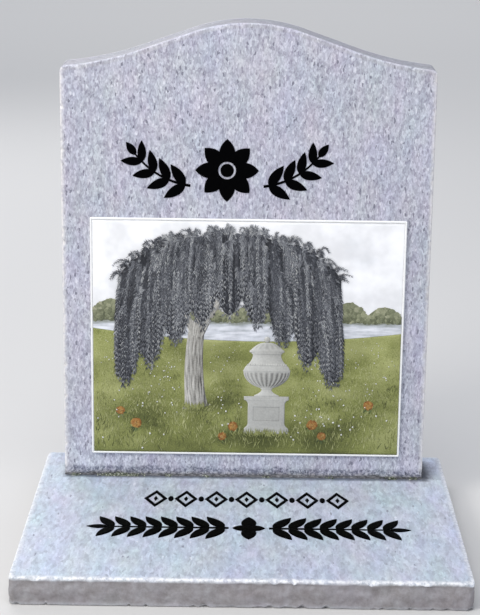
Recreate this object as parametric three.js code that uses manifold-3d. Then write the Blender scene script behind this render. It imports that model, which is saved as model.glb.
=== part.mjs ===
// Granite headstone. An ogee-topped tablet stands on a flat base slab and carries
// a glazed memorial plaque with a willow-and-urn scene in low relief. Black raised
// ornament sits above the plaque and on the slab. Millimetres, +Z up, front facing
// -Y, origin on the ground under the middle of the slab.

import * as THREE from 'three';
import { mergeVertices } from 'three/addons/utils/BufferGeometryUtils.js';
import Module from 'manifold-3d';

const wasm = await Module();
wasm.setup();

// Base slab
const slabWidth = 692;
const slabDepth = 545;
const slabHeight = 45;
const slabCorner = 9;
const slabArris = 3;

// Tablet. Its top is a crown arc, a straight flank, and a hollow sweep to each shoulder.
const tabletWidth = 610;
const tabletThickness = 76;
const tabletHeight = 769;
const tabletArris = 3;
const crownRadius = 274;
const sweepRadius = 521;
const flankAngle = THREE.MathUtils.degToRad(19.15);
const shoulderFall = THREE.MathUtils.degToRad(5.6);
const shoulderRadius = 10;

// Mortar bed between tablet and slab
const bedHeight = 2;
const bedInset = 4;
const tabletBackMargin = 36.5;

// Plaque: a plate with a raised rim round its picture field
const plaqueWidth = 522;
const plaqueHeight = 410;
const plaqueThickness = 6;
const plaqueCorner = 2;
const plaqueCentreX = 3;
const plaqueBottom = 39.5;
const rimWidth = 3.5;
const fieldDepth = 2;

// Picture relief, in layers that stand on the field one before the other
const layer = 1;
const fieldGap = 0.5;
const shoreHeight = 232;
const nearBankLeft = 218;
const nearBankMiddle = 180;
const nearBankRight = 214;
const treeTops = [262, 274, 268, 281, 264, 256, 266, 277, 270];
const treeRise = 16;

// Willow: trunk, three boughs and a crown that droops at its sides and arches over the urn
const willowX = -84;
const willowFoot = 82;
const trunkHeight = 150;
const trunkWidth = 36;
const crownX = -30;
const crownWidth = 384;
const crownTop = 386;
const crownSpring = 284;
const lobeCount = 9;
const lobeDrop = 32;
const lobeNotch = 142;
const archRise = 124;

// Urn on its pedestal
const urnX = 34;
const urnFoot = 36;
const pedestalHeight = 66;
const pedestalWidth = 76;
const vaseHeight = 77;
const vaseWidth = 80;
const lidHeight = 28;

// Marigolds beside the pedestal and under the willow: x, z, radius
const marigolds = [
  [-22, 48, 9],
  [-40, 30, 8],
  [112, 52, 10],
  [128, 32, 8],
  [-186, 52, 10],
  [-212, 74, 8],
  [206, 88, 9],
];

// Raised ornament
const ornamentRise = 1.5;
const garlandX = -33;
const garlandZ = 529.5;
const rosetteRadius = 52;
const petalCount = 8;
const petalStart = 12;
const petalWidth = 26;
const petalFullness = 0.46;
const bossRadius = 11;
const bossGap = 3.5;
const sprayStart = 60;
const sprayReach = 92;
const sprayFoot = -26;
const sprayTip = 28;
const sprayPairs = 4;
const leafSpread = 0.76;
const stemShows = 0.3;
const leafLength = 42;
const leafWidth = 17;

// Row of open lozenges on the slab
const lozengeCount = 7;
const lozengePitch = 50;
const lozengeX = 6;
const lozengeY = 52;
const lozengeWidth = 38;
const lozengeDepth = 74;
const lozengeBar = 6.5;
const beadWidth = 9;
const beadDepth = 22;

// Laurel runner on the slab: a quatrefoil between two straight sprays
const runnerX = 10;
const runnerY = -71.5;
const runnerStart = 32;
const runnerPairs = 8;
const runnerPitch = 25;
const runnerSpread = 1.02;
const runnerLeafLength = 54;
const runnerLeafWidth = 20;
const quatrefoilReach = 46;
const quatrefoilLeafWidth = 24;

const tabletFrontY = slabDepth / 2 - tabletBackMargin - tabletThickness;
const tabletBase = slabHeight + bedHeight;
const fieldWidth = plaqueWidth - 2 * rimWidth;
const fieldHeight = plaqueHeight - 2 * rimWidth;
const fieldFrontY = tabletFrontY - plaqueThickness + fieldDepth;
const fieldBottom = tabletBase + plaqueBottom + rimWidth;
const halfField = fieldWidth / 2 - fieldGap;

// Turns a drawing in elevation, extruded towards the viewer, to face -Y
const upright = new THREE.Matrix4().set(1, 0, 0, 0, 0, 0, -1, 0, 0, 1, 0, 0, 0, 0, 0, 1);

const headstone = new THREE.Group();

function addPiece(name, geometry, color, roughness, x, y, z) {
  const material = new THREE.MeshStandardMaterial({ color, roughness, metalness: 0 });
  const mesh = new THREE.Mesh(geometry, material);
  mesh.name = name;
  mesh.position.set(x, y, z);
  headstone.add(mesh);
}

function addUpright(name, geometry, color, roughness, x, y, z) {
  addPiece(name, geometry.applyMatrix4(upright), color, roughness, x, y, z);
}

const granite = 0xbbbccc;
const slabGranite = 0xc5ccdc;
const mortar = 0x5d5a58;
const whiteGlaze = 0xf6f6f4;
const blackPaint = 0x101012;

// Plain and eased extrusions
function slice(shape, thickness, curveSegments = 10) {
  return new THREE.ExtrudeGeometry(shape, { depth: thickness, bevelEnabled: false, curveSegments });
}

function easedBlock(shape, thickness, arris, curveSegments) {
  return new THREE.ExtrudeGeometry(shape, {
    depth: thickness - 2 * arris,
    bevelEnabled: true,
    bevelThickness: arris,
    bevelSize: arris,
    bevelOffset: -arris,
    bevelSegments: 2,
    curveSegments,
  }).translate(0, 0, arris);
}

function roundedRect(width, height, radius) {
  const x = width / 2 - radius;
  const y = height / 2 - radius;
  const quarter = Math.PI / 2;
  const shape = new THREE.Shape();
  shape.absarc(x, y, radius, 0, quarter);
  shape.absarc(-x, y, radius, quarter, 2 * quarter);
  shape.absarc(-x, -y, radius, 2 * quarter, 3 * quarter);
  shape.absarc(x, -y, radius, 3 * quarter, 4 * quarter);
  shape.closePath();
  return shape;
}

// Joining and cutting
function toSolid(geometry) {
  geometry.deleteAttribute('normal');
  geometry.deleteAttribute('uv');
  const merged = mergeVertices(geometry, 1e-4);
  const vertProperties = new Float32Array(merged.attributes.position.array);
  const triVerts = new Uint32Array(merged.index.array);
  return new wasm.Manifold(new wasm.Mesh({ numProp: 3, vertProperties, triVerts }));
}

function toGeometry(solid) {
  const mesh = solid.getMesh();
  const geometry = new THREE.BufferGeometry();
  geometry.setAttribute('position', new THREE.BufferAttribute(new Float32Array(mesh.vertProperties), 3));
  geometry.setIndex(new THREE.BufferAttribute(new Uint32Array(mesh.triVerts), 1));
  geometry.computeVertexNormals();
  return geometry;
}

function joined(geometries) {
  return toGeometry(geometries.map(toSolid).reduce((whole, piece) => whole.add(piece)));
}

// A pointed leaf that grows from (x, y) along an angle
function leaf(length, width, x, y, angle, thickness, fullness = 0.42) {
  const shape = new THREE.Shape();
  shape.moveTo(0, 0);
  shape.bezierCurveTo(length * 0.18, -width * 0.72, length * (fullness + 0.22), -width * 0.62, length, 0);
  shape.bezierCurveTo(length * (fullness + 0.22), width * 0.62, length * 0.18, width * 0.72, 0, 0);
  return slice(shape, thickness, 6).rotateZ(angle).translate(x, y, 0);
}

function oval(width, depth, x, y, thickness) {
  const shape = new THREE.Shape();
  shape.absellipse(0, 0, width / 2, depth / 2, 0, 2 * Math.PI);
  return slice(shape, thickness, 9).translate(x, y, 0);
}

function disc(radius, x, y, thickness) {
  return oval(2 * radius, 2 * radius, x, y, thickness);
}

// A ribbon along a curve, tapering from one width to another
function ribbon(pointAt, steps, startWidth, endWidth, thickness) {
  const left = [];
  const right = [];
  for (let i = 0; i <= steps; i++) {
    const t = i / steps;
    const here = pointAt(t);
    const ahead = pointAt(Math.min(t + 0.001, 1));
    const behind = pointAt(Math.max(t - 0.001, 0));
    const side = ahead.clone().sub(behind).normalize();
    const half = THREE.MathUtils.lerp(startWidth, endWidth, t) / 2;
    left.push(new THREE.Vector2(here.x - side.y * half, here.y + side.x * half));
    right.push(new THREE.Vector2(here.x + side.y * half, here.y - side.x * half));
  }
  return slice(new THREE.Shape([...right, ...left.reverse()]), thickness);
}

// Base slab, bed and tablet
function addBaseSlab() {
  const plan = roundedRect(slabWidth, slabDepth, slabCorner);
  addPiece('base_slab', easedBlock(plan, slabHeight, slabArris, 4), slabGranite, 0.7, 0, 0, 0);
}

function tabletOutline() {
  const half = tabletWidth / 2;
  const quarter = Math.PI / 2;
  const crownCentreZ = tabletHeight - crownRadius;
  const flankX = crownRadius * Math.sin(flankAngle);
  const flankZ = crownCentreZ + crownRadius * Math.cos(flankAngle);
  const sweepEndX = half - shoulderRadius * (1 - Math.sin(shoulderFall));
  const sweepRun = sweepRadius * (Math.sin(flankAngle) - Math.sin(shoulderFall));
  const flankDrop = (sweepEndX - flankX - sweepRun) * Math.tan(flankAngle);
  const sweepX = sweepEndX - sweepRun + sweepRadius * Math.sin(flankAngle);
  const sweepZ = flankZ - flankDrop + sweepRadius * Math.cos(flankAngle);
  const shoulderX = half - shoulderRadius;
  const shoulderZ = sweepZ - (sweepRadius + shoulderRadius) * Math.cos(shoulderFall);
  const shape = new THREE.Shape();
  shape.moveTo(-half, 0);
  shape.lineTo(half, 0);
  shape.absarc(shoulderX, shoulderZ, shoulderRadius, 0, quarter - shoulderFall);
  shape.absarc(sweepX, sweepZ, sweepRadius, -quarter - shoulderFall, -quarter - flankAngle, true);
  shape.absarc(0, crownCentreZ, crownRadius, quarter - flankAngle, quarter + flankAngle);
  shape.absarc(-sweepX, sweepZ, sweepRadius, -quarter + flankAngle, -quarter + shoulderFall, true);
  shape.absarc(-shoulderX, shoulderZ, shoulderRadius, quarter + shoulderFall, 2 * quarter);
  shape.closePath();
  return shape;
}

function addTablet() {
  const bed = roundedRect(tabletWidth - 2 * bedInset, tabletThickness - 2 * bedInset, 2);
  const bedY = tabletFrontY + tabletThickness / 2;
  addPiece('setting_bed', slice(bed, bedHeight, 2), mortar, 0.95, 0, bedY, slabHeight);
  const block = easedBlock(tabletOutline(), tabletThickness, tabletArris, 16);
  addUpright('tablet', block, granite, 0.55, 0, tabletFrontY + tabletThickness, tabletBase);
}

// Plaque plate with its rim
function addPlaque() {
  const plate = slice(roundedRect(plaqueWidth, plaqueHeight, plaqueCorner), plaqueThickness, 3);
  const pocket = slice(roundedRect(fieldWidth, fieldHeight, plaqueCorner / 2), 2 * fieldDepth, 3);
  pocket.translate(0, 0, plaqueThickness - fieldDepth);
  const body = toGeometry(toSolid(plate).subtract(toSolid(pocket)));
  const centreZ = tabletBase + plaqueBottom + plaqueHeight / 2;
  addUpright('plaque', body, whiteGlaze, 0.2, plaqueCentreX, tabletFrontY, centreZ);
}

// One slice of the picture; level 0 stands on the field, and drawings start at its foot
function addRelief(name, geometry, level, color, roughness, x = 0, z = 0) {
  const y = fieldFrontY - level * layer;
  addUpright(name, geometry, color, roughness, plaqueCentreX + x, y, fieldBottom + z);
}

function nearBank(shape, fromRight) {
  const from = fromRight ? halfField : -halfField;
  const end = fromRight ? nearBankLeft : nearBankRight;
  shape.quadraticCurveTo(0, nearBankMiddle, -from, end);
}

function addLandscape() {
  const top = fieldHeight - fieldGap;
  const sky = new THREE.Shape();
  sky.moveTo(-halfField, fieldGap);
  sky.lineTo(halfField, fieldGap);
  sky.lineTo(halfField, top);
  sky.lineTo(-halfField, top);
  addRelief('picture_sky', slice(sky, layer), 0, 0xf6f6f7, 0.25);

  const trees = new THREE.Shape();
  trees.moveTo(-halfField, shoreHeight);
  trees.lineTo(halfField, shoreHeight);
  trees.lineTo(halfField, treeTops[0] - treeRise);
  const crownRun = (2 * halfField) / treeTops.length;
  treeTops.forEach((height, i) => {
    const x = halfField - crownRun * i;
    const next = treeTops[Math.min(i + 1, treeTops.length - 1)];
    const dip = Math.min(height, next) - treeRise;
    trees.quadraticCurveTo(x - crownRun / 2, height + treeRise, x - crownRun, dip);
  });
  addRelief('picture_far_trees', slice(trees, layer, 6), 1, 0x85866e, 0.3);

  const water = new THREE.Shape();
  water.moveTo(halfField, shoreHeight);
  water.lineTo(-halfField, shoreHeight);
  water.lineTo(-halfField, nearBankLeft);
  nearBank(water, false);
  addRelief('picture_water', slice(water, layer, 12), 1, 0xc9cdd0, 0.15);

  const meadow = new THREE.Shape();
  meadow.moveTo(-halfField, fieldGap);
  meadow.lineTo(halfField, fieldGap);
  meadow.lineTo(halfField, nearBankRight);
  nearBank(meadow, true);
  addRelief('picture_meadow', slice(meadow, layer, 12), 1, 0x8f9468, 0.35);
}

// Willow
function limb(fromX, fromZ, bendX, bendZ, toX, toZ, startWidth, endWidth) {
  const curve = new THREE.QuadraticBezierCurve(
    new THREE.Vector2(fromX, fromZ),
    new THREE.Vector2(bendX, bendZ),
    new THREE.Vector2(toX, toZ),
  );
  return ribbon((t) => curve.getPoint(t), 8, startWidth, endWidth, layer);
}

function addWillow() {
  const fork = trunkHeight;
  const trunk = limb(0, 0, -10, fork * 0.5, 2, fork, trunkWidth, trunkWidth * 0.7);
  const leftBough = limb(-2, fork * 0.82, -22, fork * 1.2, -64, fork * 1.5, 16, 8);
  const rightBough = limb(2, fork * 0.82, 26, fork * 1.2, 72, fork * 1.46, 17, 8);
  const middleBough = limb(2, fork * 0.9, 4, fork * 1.3, -4, fork * 1.75, 18, 8);
  const wood = joined([trunk, leftBough, rightBough, middleBough]);
  addRelief('willow_trunk', wood, 2, 0xa8a59c, 0.4, willowX, willowFoot);

  const half = crownWidth / 2;
  const lobeRun = crownWidth / lobeCount;
  const notch = (x) => lobeNotch + archRise * (1 - (x / half) ** 2) ** 1.5;
  const crown = new THREE.Shape();
  crown.moveTo(-half, lobeNotch);
  for (let i = 0; i < lobeCount; i++) {
    const x = -half + lobeRun * i;
    const end = Math.min(x + lobeRun, half);
    const hang = Math.min(notch(x), notch(end)) - 2 * lobeDrop;
    crown.quadraticCurveTo(x + lobeRun / 2, hang, end, notch(end));
  }
  crown.absellipse(0, crownSpring, half, crownTop - crownSpring, 0, Math.PI);
  crown.closePath();
  addRelief('willow_crown', slice(crown, layer, 8), 3, 0x55575c, 0.5, crownX, 0);
}

// Urn: each piece is a symmetrical outline, drawn as its right half from the foot up
function symmetrical(halfOutline) {
  const right = halfOutline.map(([x, z]) => new THREE.Vector2(x, z));
  const left = halfOutline.map(([x, z]) => new THREE.Vector2(-x, z)).reverse();
  return new THREE.Shape([...right, ...left]);
}

function addUrn() {
  const w = pedestalWidth / 2;
  const h = pedestalHeight;
  const pedestal = symmetrical([
    [w, 0],
    [w, h * 0.14],
    [w * 0.86, h * 0.2],
    [w * 0.82, h * 0.26],
    [w * 0.82, h * 0.8],
    [w * 0.9, h * 0.88],
    [w, h * 0.92],
    [w, h],
  ]);
  addRelief('urn_pedestal', slice(pedestal, layer), 2, 0xb9b8b0, 0.4, urnX, urnFoot);

  // the vase swells as an ellipse between its foot and its neck
  const v = vaseWidth / 2;
  const vase = new THREE.Shape();
  const foot = vaseHeight * 0.16;
  const swell = vaseHeight * 0.66;
  vase.moveTo(-v * 0.52, 0);
  vase.lineTo(v * 0.52, 0);
  vase.quadraticCurveTo(v * 0.22, foot * 0.5, v * 0.2, foot);
  vase.bezierCurveTo(v * 0.75, foot * 1.5, v * 1.12, swell * 0.72, v * 0.92, swell);
  vase.quadraticCurveTo(v * 0.5, vaseHeight * 0.86, v * 0.62, vaseHeight);
  vase.lineTo(-v * 0.62, vaseHeight);
  vase.quadraticCurveTo(-v * 0.5, vaseHeight * 0.86, -v * 0.92, swell);
  vase.bezierCurveTo(-v * 1.12, swell * 0.72, -v * 0.75, foot * 1.5, -v * 0.2, foot);
  vase.quadraticCurveTo(-v * 0.22, foot * 0.5, -v * 0.52, 0);
  const vaseZ = urnFoot + pedestalHeight;
  addRelief('urn_vase', slice(vase, layer, 6), 2, 0xc6c5bd, 0.4, urnX, vaseZ);

  const lid = new THREE.Shape();
  const brim = v * 0.72;
  lid.moveTo(-brim, 0);
  lid.lineTo(brim, 0);
  lid.lineTo(brim, lidHeight * 0.14);
  lid.quadraticCurveTo(v * 0.4, lidHeight * 0.6, v * 0.1, lidHeight * 0.62);
  lid.absarc(0, lidHeight * 0.8, lidHeight * 0.18, -Math.PI * 0.3, Math.PI * 1.3);
  lid.quadraticCurveTo(-v * 0.4, lidHeight * 0.6, -brim, lidHeight * 0.14);
  addRelief('urn_lid', slice(lid, layer, 6), 2, 0xc6c5bd, 0.4, urnX, vaseZ + vaseHeight);
}

function addMarigolds() {
  marigolds.forEach(([x, z, radius], i) => {
    const steps = 20;
    const points = [];
    for (let k = 0; k < steps; k++) {
      const angle = (2 * Math.PI * k) / steps;
      const reach = radius * (k % 2 ? 0.86 : 1);
      points.push(new THREE.Vector2(reach * Math.cos(angle), reach * Math.sin(angle)));
    }
    const head = new THREE.Shape(points);
    addRelief(`marigold_${i + 1}`, slice(head, layer), 2, 0xb8702f, 0.4, x, z);
  });
}

// Garland: a rosette between two laurel sprays
function addGarland() {
  const petals = [];
  for (let i = 0; i < petalCount; i++) {
    const angle = (2 * Math.PI * i) / petalCount;
    const length = rosetteRadius - petalStart;
    const x = petalStart * Math.cos(angle);
    const y = petalStart * Math.sin(angle);
    petals.push(leaf(length, petalWidth, x, y, angle, ornamentRise, petalFullness));
  }
  const hub = disc(petalStart + 9, 0, 0, ornamentRise);
  const eye = toSolid(disc(bossRadius + bossGap, 0, 0, 3 * ornamentRise).translate(0, 0, -ornamentRise));
  const rosette = toGeometry(toSolid(joined([...petals, hub])).subtract(eye));
  const boss = disc(bossRadius, 0, 0, ornamentRise);
  const hang = (name, geometry) => {
    addUpright(name, geometry, blackPaint, 0.5, garlandX, tabletFrontY, tabletBase + garlandZ);
  };
  hang('rosette_petals', rosette);
  hang('rosette_boss', boss);
  hang('laurel_right', laurelSpray(1));
  hang('laurel_left', laurelSpray(-1));
}

// Paired leaves along a stem, and one at its tip
function spray(curve, pairs, length, width, spread, taper, stemWidth) {
  const pieces = [ribbon((t) => curve.getPoint(t), 8, stemWidth, stemWidth * 0.6, ornamentRise)];
  for (let i = 0; i < pairs; i++) {
    const t = (i + stemShows) / pairs;
    const at = curve.getPoint(t);
    const along = curve.getTangent(t).angle();
    const size = 1 - taper * t;
    for (const turn of [-spread, spread]) {
      pieces.push(leaf(length * size, width * size, at.x, at.y, along + turn, ornamentRise));
    }
  }
  const tip = curve.getPoint(0.96);
  const end = curve.getTangent(1).angle();
  pieces.push(leaf(length * 0.62, width * 0.76, tip.x, tip.y, end, ornamentRise));
  return joined(pieces);
}

function laurelSpray(side) {
  const curve = new THREE.QuadraticBezierCurve(
    new THREE.Vector2(side * sprayStart, sprayFoot),
    new THREE.Vector2(side * (sprayStart + sprayReach * 0.62), sprayFoot + 8),
    new THREE.Vector2(side * (sprayStart + sprayReach), sprayTip),
  );
  return spray(curve, sprayPairs, leafLength, leafWidth, leafSpread, 0.2, 4.5);
}

// Row of open lozenges with beads between them
function lozenge(width, depth) {
  const shape = new THREE.Shape();
  shape.moveTo(width / 2, 0);
  shape.lineTo(0, depth / 2);
  shape.lineTo(-width / 2, 0);
  shape.lineTo(0, -depth / 2);
  return shape;
}

function addLozengeRow() {
  for (let i = 0; i < lozengeCount; i++) {
    const x = lozengeX + (i - (lozengeCount - 1) / 2) * lozengePitch;
    const ring = lozenge(lozengeWidth, lozengeDepth);
    const shrink = 1 - (2 * lozengeBar) / lozengeWidth;
    ring.holes.push(lozenge(lozengeWidth * shrink, lozengeDepth * shrink));
    const band = slice(ring, ornamentRise);
    const heart = slice(lozenge(lozengeBar, lozengeDepth * shrink * 0.42), ornamentRise);
    addPiece(`lozenge_${i + 1}`, band, blackPaint, 0.5, x, lozengeY, slabHeight);
    addPiece(`lozenge_heart_${i + 1}`, heart, blackPaint, 0.5, x, lozengeY, slabHeight);
    if (i < lozengeCount - 1) {
      const bead = oval(beadWidth, beadDepth, 0, 0, ornamentRise);
      addPiece(`bead_${i + 1}`, bead, blackPaint, 0.5, x + lozengePitch / 2, lozengeY, slabHeight);
    }
  }
}

// Laurel runner
function addRunner() {
  for (const [name, side] of [['runner_right', 1], ['runner_left', -1]]) {
    const start = new THREE.Vector2(side * runnerStart, 0);
    const end = new THREE.Vector2(side * (runnerStart + runnerPairs * runnerPitch), 0);
    const stem = new THREE.LineCurve(start, end);
    const half = spray(stem, runnerPairs, runnerLeafLength, runnerLeafWidth, runnerSpread, 0.12, 7);
    addPiece(name, half, blackPaint, 0.5, runnerX, runnerY, slabHeight);
  }
  const leaves = [0, 1, 2, 3].map((i) => {
    const angle = (i * Math.PI) / 2;
    const reach = i % 2 ? quatrefoilReach : quatrefoilReach * 0.56;
    return leaf(reach, quatrefoilLeafWidth * (i % 2 ? 1 : 0.9), 0, 0, angle, ornamentRise, 0.5);
  });
  const heart = oval(14, 20, 0, 0, ornamentRise);
  addPiece('runner_quatrefoil', joined([...leaves, heart]), blackPaint, 0.5, runnerX, runnerY, slabHeight);
}

addBaseSlab();
addTablet();
addPlaque();
addLandscape();
addWillow();
addUrn();
addMarigolds();
addGarland();
addLozengeRow();
addRunner();

export default headstone;
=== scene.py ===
# Granite headstone: an ogee-topped tablet on a base slab, a glazed picture plaque,
# and black raised ornament. Every piece is built in place, in metres, from the boxes
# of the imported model. Sizes in the dictionaries are in millimetres.
import math

import bpy
import numpy as np
from mathutils import Matrix, Vector, noise


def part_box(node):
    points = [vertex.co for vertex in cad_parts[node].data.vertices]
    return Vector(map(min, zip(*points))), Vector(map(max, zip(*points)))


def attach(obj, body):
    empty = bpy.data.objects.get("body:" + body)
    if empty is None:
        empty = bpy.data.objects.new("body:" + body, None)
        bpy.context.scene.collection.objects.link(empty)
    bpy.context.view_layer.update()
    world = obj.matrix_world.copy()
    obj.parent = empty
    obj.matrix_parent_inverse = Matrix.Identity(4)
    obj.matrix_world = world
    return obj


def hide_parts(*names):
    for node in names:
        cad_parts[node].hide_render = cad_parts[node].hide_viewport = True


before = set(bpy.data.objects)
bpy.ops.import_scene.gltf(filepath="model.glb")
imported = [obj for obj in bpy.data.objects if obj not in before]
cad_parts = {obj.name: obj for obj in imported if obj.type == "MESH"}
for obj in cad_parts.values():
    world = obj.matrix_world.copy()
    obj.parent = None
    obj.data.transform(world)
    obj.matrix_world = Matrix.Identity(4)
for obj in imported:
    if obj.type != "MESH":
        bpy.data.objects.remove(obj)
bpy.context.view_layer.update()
mm = 0.001
print("frame loaded:", len(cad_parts), "solids")


# Camera and light

cameraSetup = {
    "place": (0.0054, -2.727, 1.1308),  # metres
    "pitch": 15.227,  # degrees below the horizon
    "yaw": -0.291,
    "roll": 0.692,
    "lens": 105.08,
    "sensor": 36.0,
    "clip": (0.05, 100.0),  # metres
}


def setCamera(c):
    pitch, yaw, roll = (math.radians(c[k]) for k in ("pitch", "yaw", "roll"))
    ahead = Vector((math.sin(yaw) * math.cos(pitch), math.cos(yaw) * math.cos(pitch), -math.sin(pitch)))
    level = Vector((math.cos(yaw), -math.sin(yaw), 0))
    rise = level.cross(ahead)
    right = level * math.cos(roll) + rise * math.sin(roll)
    up = rise * math.cos(roll) - level * math.sin(roll)
    data = bpy.data.cameras.new("viewfinder")
    data.lens = c["lens"]
    data.sensor_width = c["sensor"]
    data.clip_start, data.clip_end = c["clip"]
    camera = bpy.data.objects.new("viewfinder", data)
    turn = Matrix((right, up, -ahead)).transposed().to_4x4()
    camera.matrix_world = Matrix.Translation(c["place"]) @ turn
    bpy.context.scene.collection.objects.link(camera)
    bpy.context.scene.camera = camera


studio = {
    "sky": (0.80, 0.86, 1.0),
    "skyStrength": 0.54,
    "floor": "#d2d0cc",
    "floorRoughness": 0.9,
    "floorSize": 40.0,  # metres
    "exposure": 0.0,
    "boxes": [  # name, place, aimed at, size in metres, watts, colour
        ("keyBox", (-2.7, -2.4, 2.5), (0, 0, 0.45), 1.5, 82, (1.0, 0.97, 0.93)),
        ("topBox", (-0.4, -1.1, 3.1), (0, -0.05, 0.2), 2.0, 42, (0.97, 0.98, 1.0)),
        ("fillBox", (2.8, -2.6, 1.6), (0, 0, 0.4), 2.2, 14, (0.95, 0.97, 1.0)),
        ("backBox", (-1.5, 3.2, 2.6), (0, 0.2, 0.4), 2.4, 40, (0.98, 0.98, 1.0)),
        ("floorBox", (0, 8.5, 5.0), (0, 7.5, 0), 9.0, 210, (1.0, 1.0, 1.0)),
    ],
}


def hexToLinear(code):
    out = []
    for k in (1, 3, 5):
        c = int(code[k:k + 2], 16) / 255
        out.append(c / 12.92 if c <= 0.04045 else ((c + 0.055) / 1.055) ** 2.4)
    return (*out, 1.0)


def hangLight(name, place, aim, size, watts, colour):
    light = bpy.data.lights.new(name, "AREA")
    light.shape = "SQUARE"
    light.size = size
    light.energy = watts
    light.color = colour
    lamp = bpy.data.objects.new(name, light)
    lamp.location = place
    lamp.rotation_mode = "QUATERNION"
    lamp.rotation_quaternion = (Vector(aim) - Vector(place)).to_track_quat("-Z", "Y")
    bpy.context.scene.collection.objects.link(lamp)


def layFloor(s):
    half = s["floorSize"] / 2
    corners = [(-half, -half, 0), (half, -half, 0), (half, half, 0), (-half, half, 0)]
    mesh = bpy.data.meshes.new("studioFloor")
    mesh.from_pydata(corners, [], [(0, 1, 2, 3)])
    floor = bpy.data.objects.new("studioFloor", mesh)
    bpy.context.scene.collection.objects.link(floor)
    paint = bpy.data.materials.new("floorPaint")
    paint.use_nodes = True
    shader = paint.node_tree.nodes["Principled BSDF"]
    shader.inputs["Base Color"].default_value = hexToLinear(s["floor"])
    shader.inputs["Roughness"].default_value = s["floorRoughness"]
    mesh.materials.append(paint)


def setStudio(s):
    scene = bpy.context.scene
    scene.view_settings.view_transform = "Standard"
    scene.view_settings.look = "None"
    scene.view_settings.exposure = s["exposure"]
    world = bpy.data.worlds.new("softSky")
    world.use_nodes = True
    backdrop = world.node_tree.nodes["Background"]
    backdrop.inputs["Color"].default_value = (*s["sky"], 1)
    backdrop.inputs["Strength"].default_value = s["skyStrength"]
    scene.world = world
    for box in s["boxes"]:
        hangLight(*box)
    layFloor(s)


setCamera(cameraSetup)
setStudio(studio)
print("camera and light set")


# One material on the bench, with short calls for the nodes that these finishes use.
# A value may be a number, a colour code or another node's output.
class Bench:
    def __init__(self, name):
        self.material = bpy.data.materials.new(name)
        self.material.use_nodes = True
        self.nodes = self.material.node_tree.nodes
        self.links = self.material.node_tree.links
        self.shader = self.nodes["Principled BSDF"]
        self.coords = self.nodes.new("ShaderNodeTexCoord").outputs["Object"]

    def feed(self, socket, value):
        if isinstance(value, bpy.types.NodeSocket):
            self.links.new(value, socket)
        else:
            socket.default_value = hexToLinear(value) if isinstance(value, str) else value

    # A new node, with its settings made before its inputs are fed
    def node(self, kind, inputs, **settings):
        made = self.nodes.new("ShaderNode" + kind)
        for key, value in settings.items():
            setattr(made, key, value)
        for key, value in inputs.items():
            if value is not None:
                self.feed(made.inputs[key], value)
        return made

    def stretch(self, scale, turn=(0, 0, 0)):
        made = self.node("Mapping", {"Vector": self.coords, "Rotation": turn, "Scale": scale})
        return made.outputs["Vector"]

    def noise(self, scale, detail, rough, coords=None, want="Fac"):
        inputs = {"Vector": coords or self.coords, "Scale": scale, "Detail": detail, "Roughness": rough}
        return self.node("TexNoise", inputs).outputs[want]

    def cells(self, scale, coords, want="Color", feature="F1"):
        return self.node("TexVoronoi", {"Vector": coords, "Scale": scale}, feature=feature).outputs[want]

    # A noise of (scale, detail, roughness) that goes between two values as it crosses two levels
    def cloud(self, grain, levels, values=(0.0, 1.0), coords=None, smooth=True):
        return self.span(self.noise(*grain, coords), *levels, *values, smooth)

    # A noise about nought, as strong as the amount
    def wander(self, grain, amount):
        return self.times(self.minus(self.noise(*grain), 0.5), amount)

    def colourWander(self, grain, amount, coords):
        centred = self.vector("SUBTRACT", self.noise(*grain, coords, "Color"), (0.5, 0.5, 0.5))
        return self.vector("SCALE", centred, scale=amount)

    def vector(self, operation, a, b=None, scale=None):
        return self.node("VectorMath", {0: a, 1: b, "Scale": scale}, operation=operation).outputs["Vector"]

    def channel(self, colour, which=0):
        return self.node("SeparateColor", {0: colour}).outputs[which]

    def axis(self, which):
        return self.node("SeparateXYZ", {0: self.coords}).outputs[which]

    def attribute(self, name):
        return self.node("Attribute", {}, attribute_name=name).outputs["Fac"]

    def math(self, operation, a, b=None, clamp=False):
        return self.node("Math", {0: a, 1: b}, operation=operation, use_clamp=clamp).outputs[0]

    def times(self, first, *others):
        for other in others:
            first = self.math("MULTIPLY", first, other)
        return first

    def plus(self, a, b):
        return self.math("ADD", a, b)

    def minus(self, a, b):
        return self.math("SUBTRACT", a, b)

    def span(self, value, low, high, outLow=0.0, outHigh=1.0, smooth=True):
        inputs = {"Value": value, "From Min": low, "From Max": high, "To Min": outLow, "To Max": outHigh}
        kind = "SMOOTHSTEP" if smooth else "LINEAR"
        return self.node("MapRange", inputs, interpolation_type=kind).outputs["Result"]

    def ramp(self, factor, stops, steps=False):
        made = self.node("ValToRGB", {"Fac": factor})
        made.color_ramp.interpolation = "CONSTANT" if steps else "LINEAR"
        bar = made.color_ramp.elements
        while len(bar) < len(stops):
            bar.new(0.5)
        for element, (place, code) in zip(bar, stops):
            element.position = place
            element.color = hexToLinear(code)
        return made.outputs["Color"]

    # The colour made lighter or darker by a value about one
    def shaded(self, colour, value):
        grey = self.node("CombineColor", {0: value, 1: value, 2: value}).outputs[0]
        return self.vector("MULTIPLY", colour, grey)

    def blend(self, factor, a, b, how="MIX"):
        inputs = {"Factor": factor, "A": a, "B": b}
        return self.node("Mix", inputs, data_type="RGBA", blend_type=how).outputs["Result"]

    def bump(self, height, strength, distance):
        made = self.node("Bump", {"Height": height, "Strength": strength, "Distance": distance})
        self.links.new(made.outputs["Normal"], self.shader.inputs["Normal"])

    def finish(self, colour, roughness, specular, coat=0.0, coatRoughness=0.1):
        self.feed(self.shader.inputs["Base Color"], colour)
        self.feed(self.shader.inputs["Roughness"], roughness)
        self.shader.inputs["Specular IOR Level"].default_value = specular
        self.shader.inputs["Coat Weight"].default_value = coat
        self.shader.inputs["Coat Roughness"].default_value = coatRoughness
        return self.material


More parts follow.
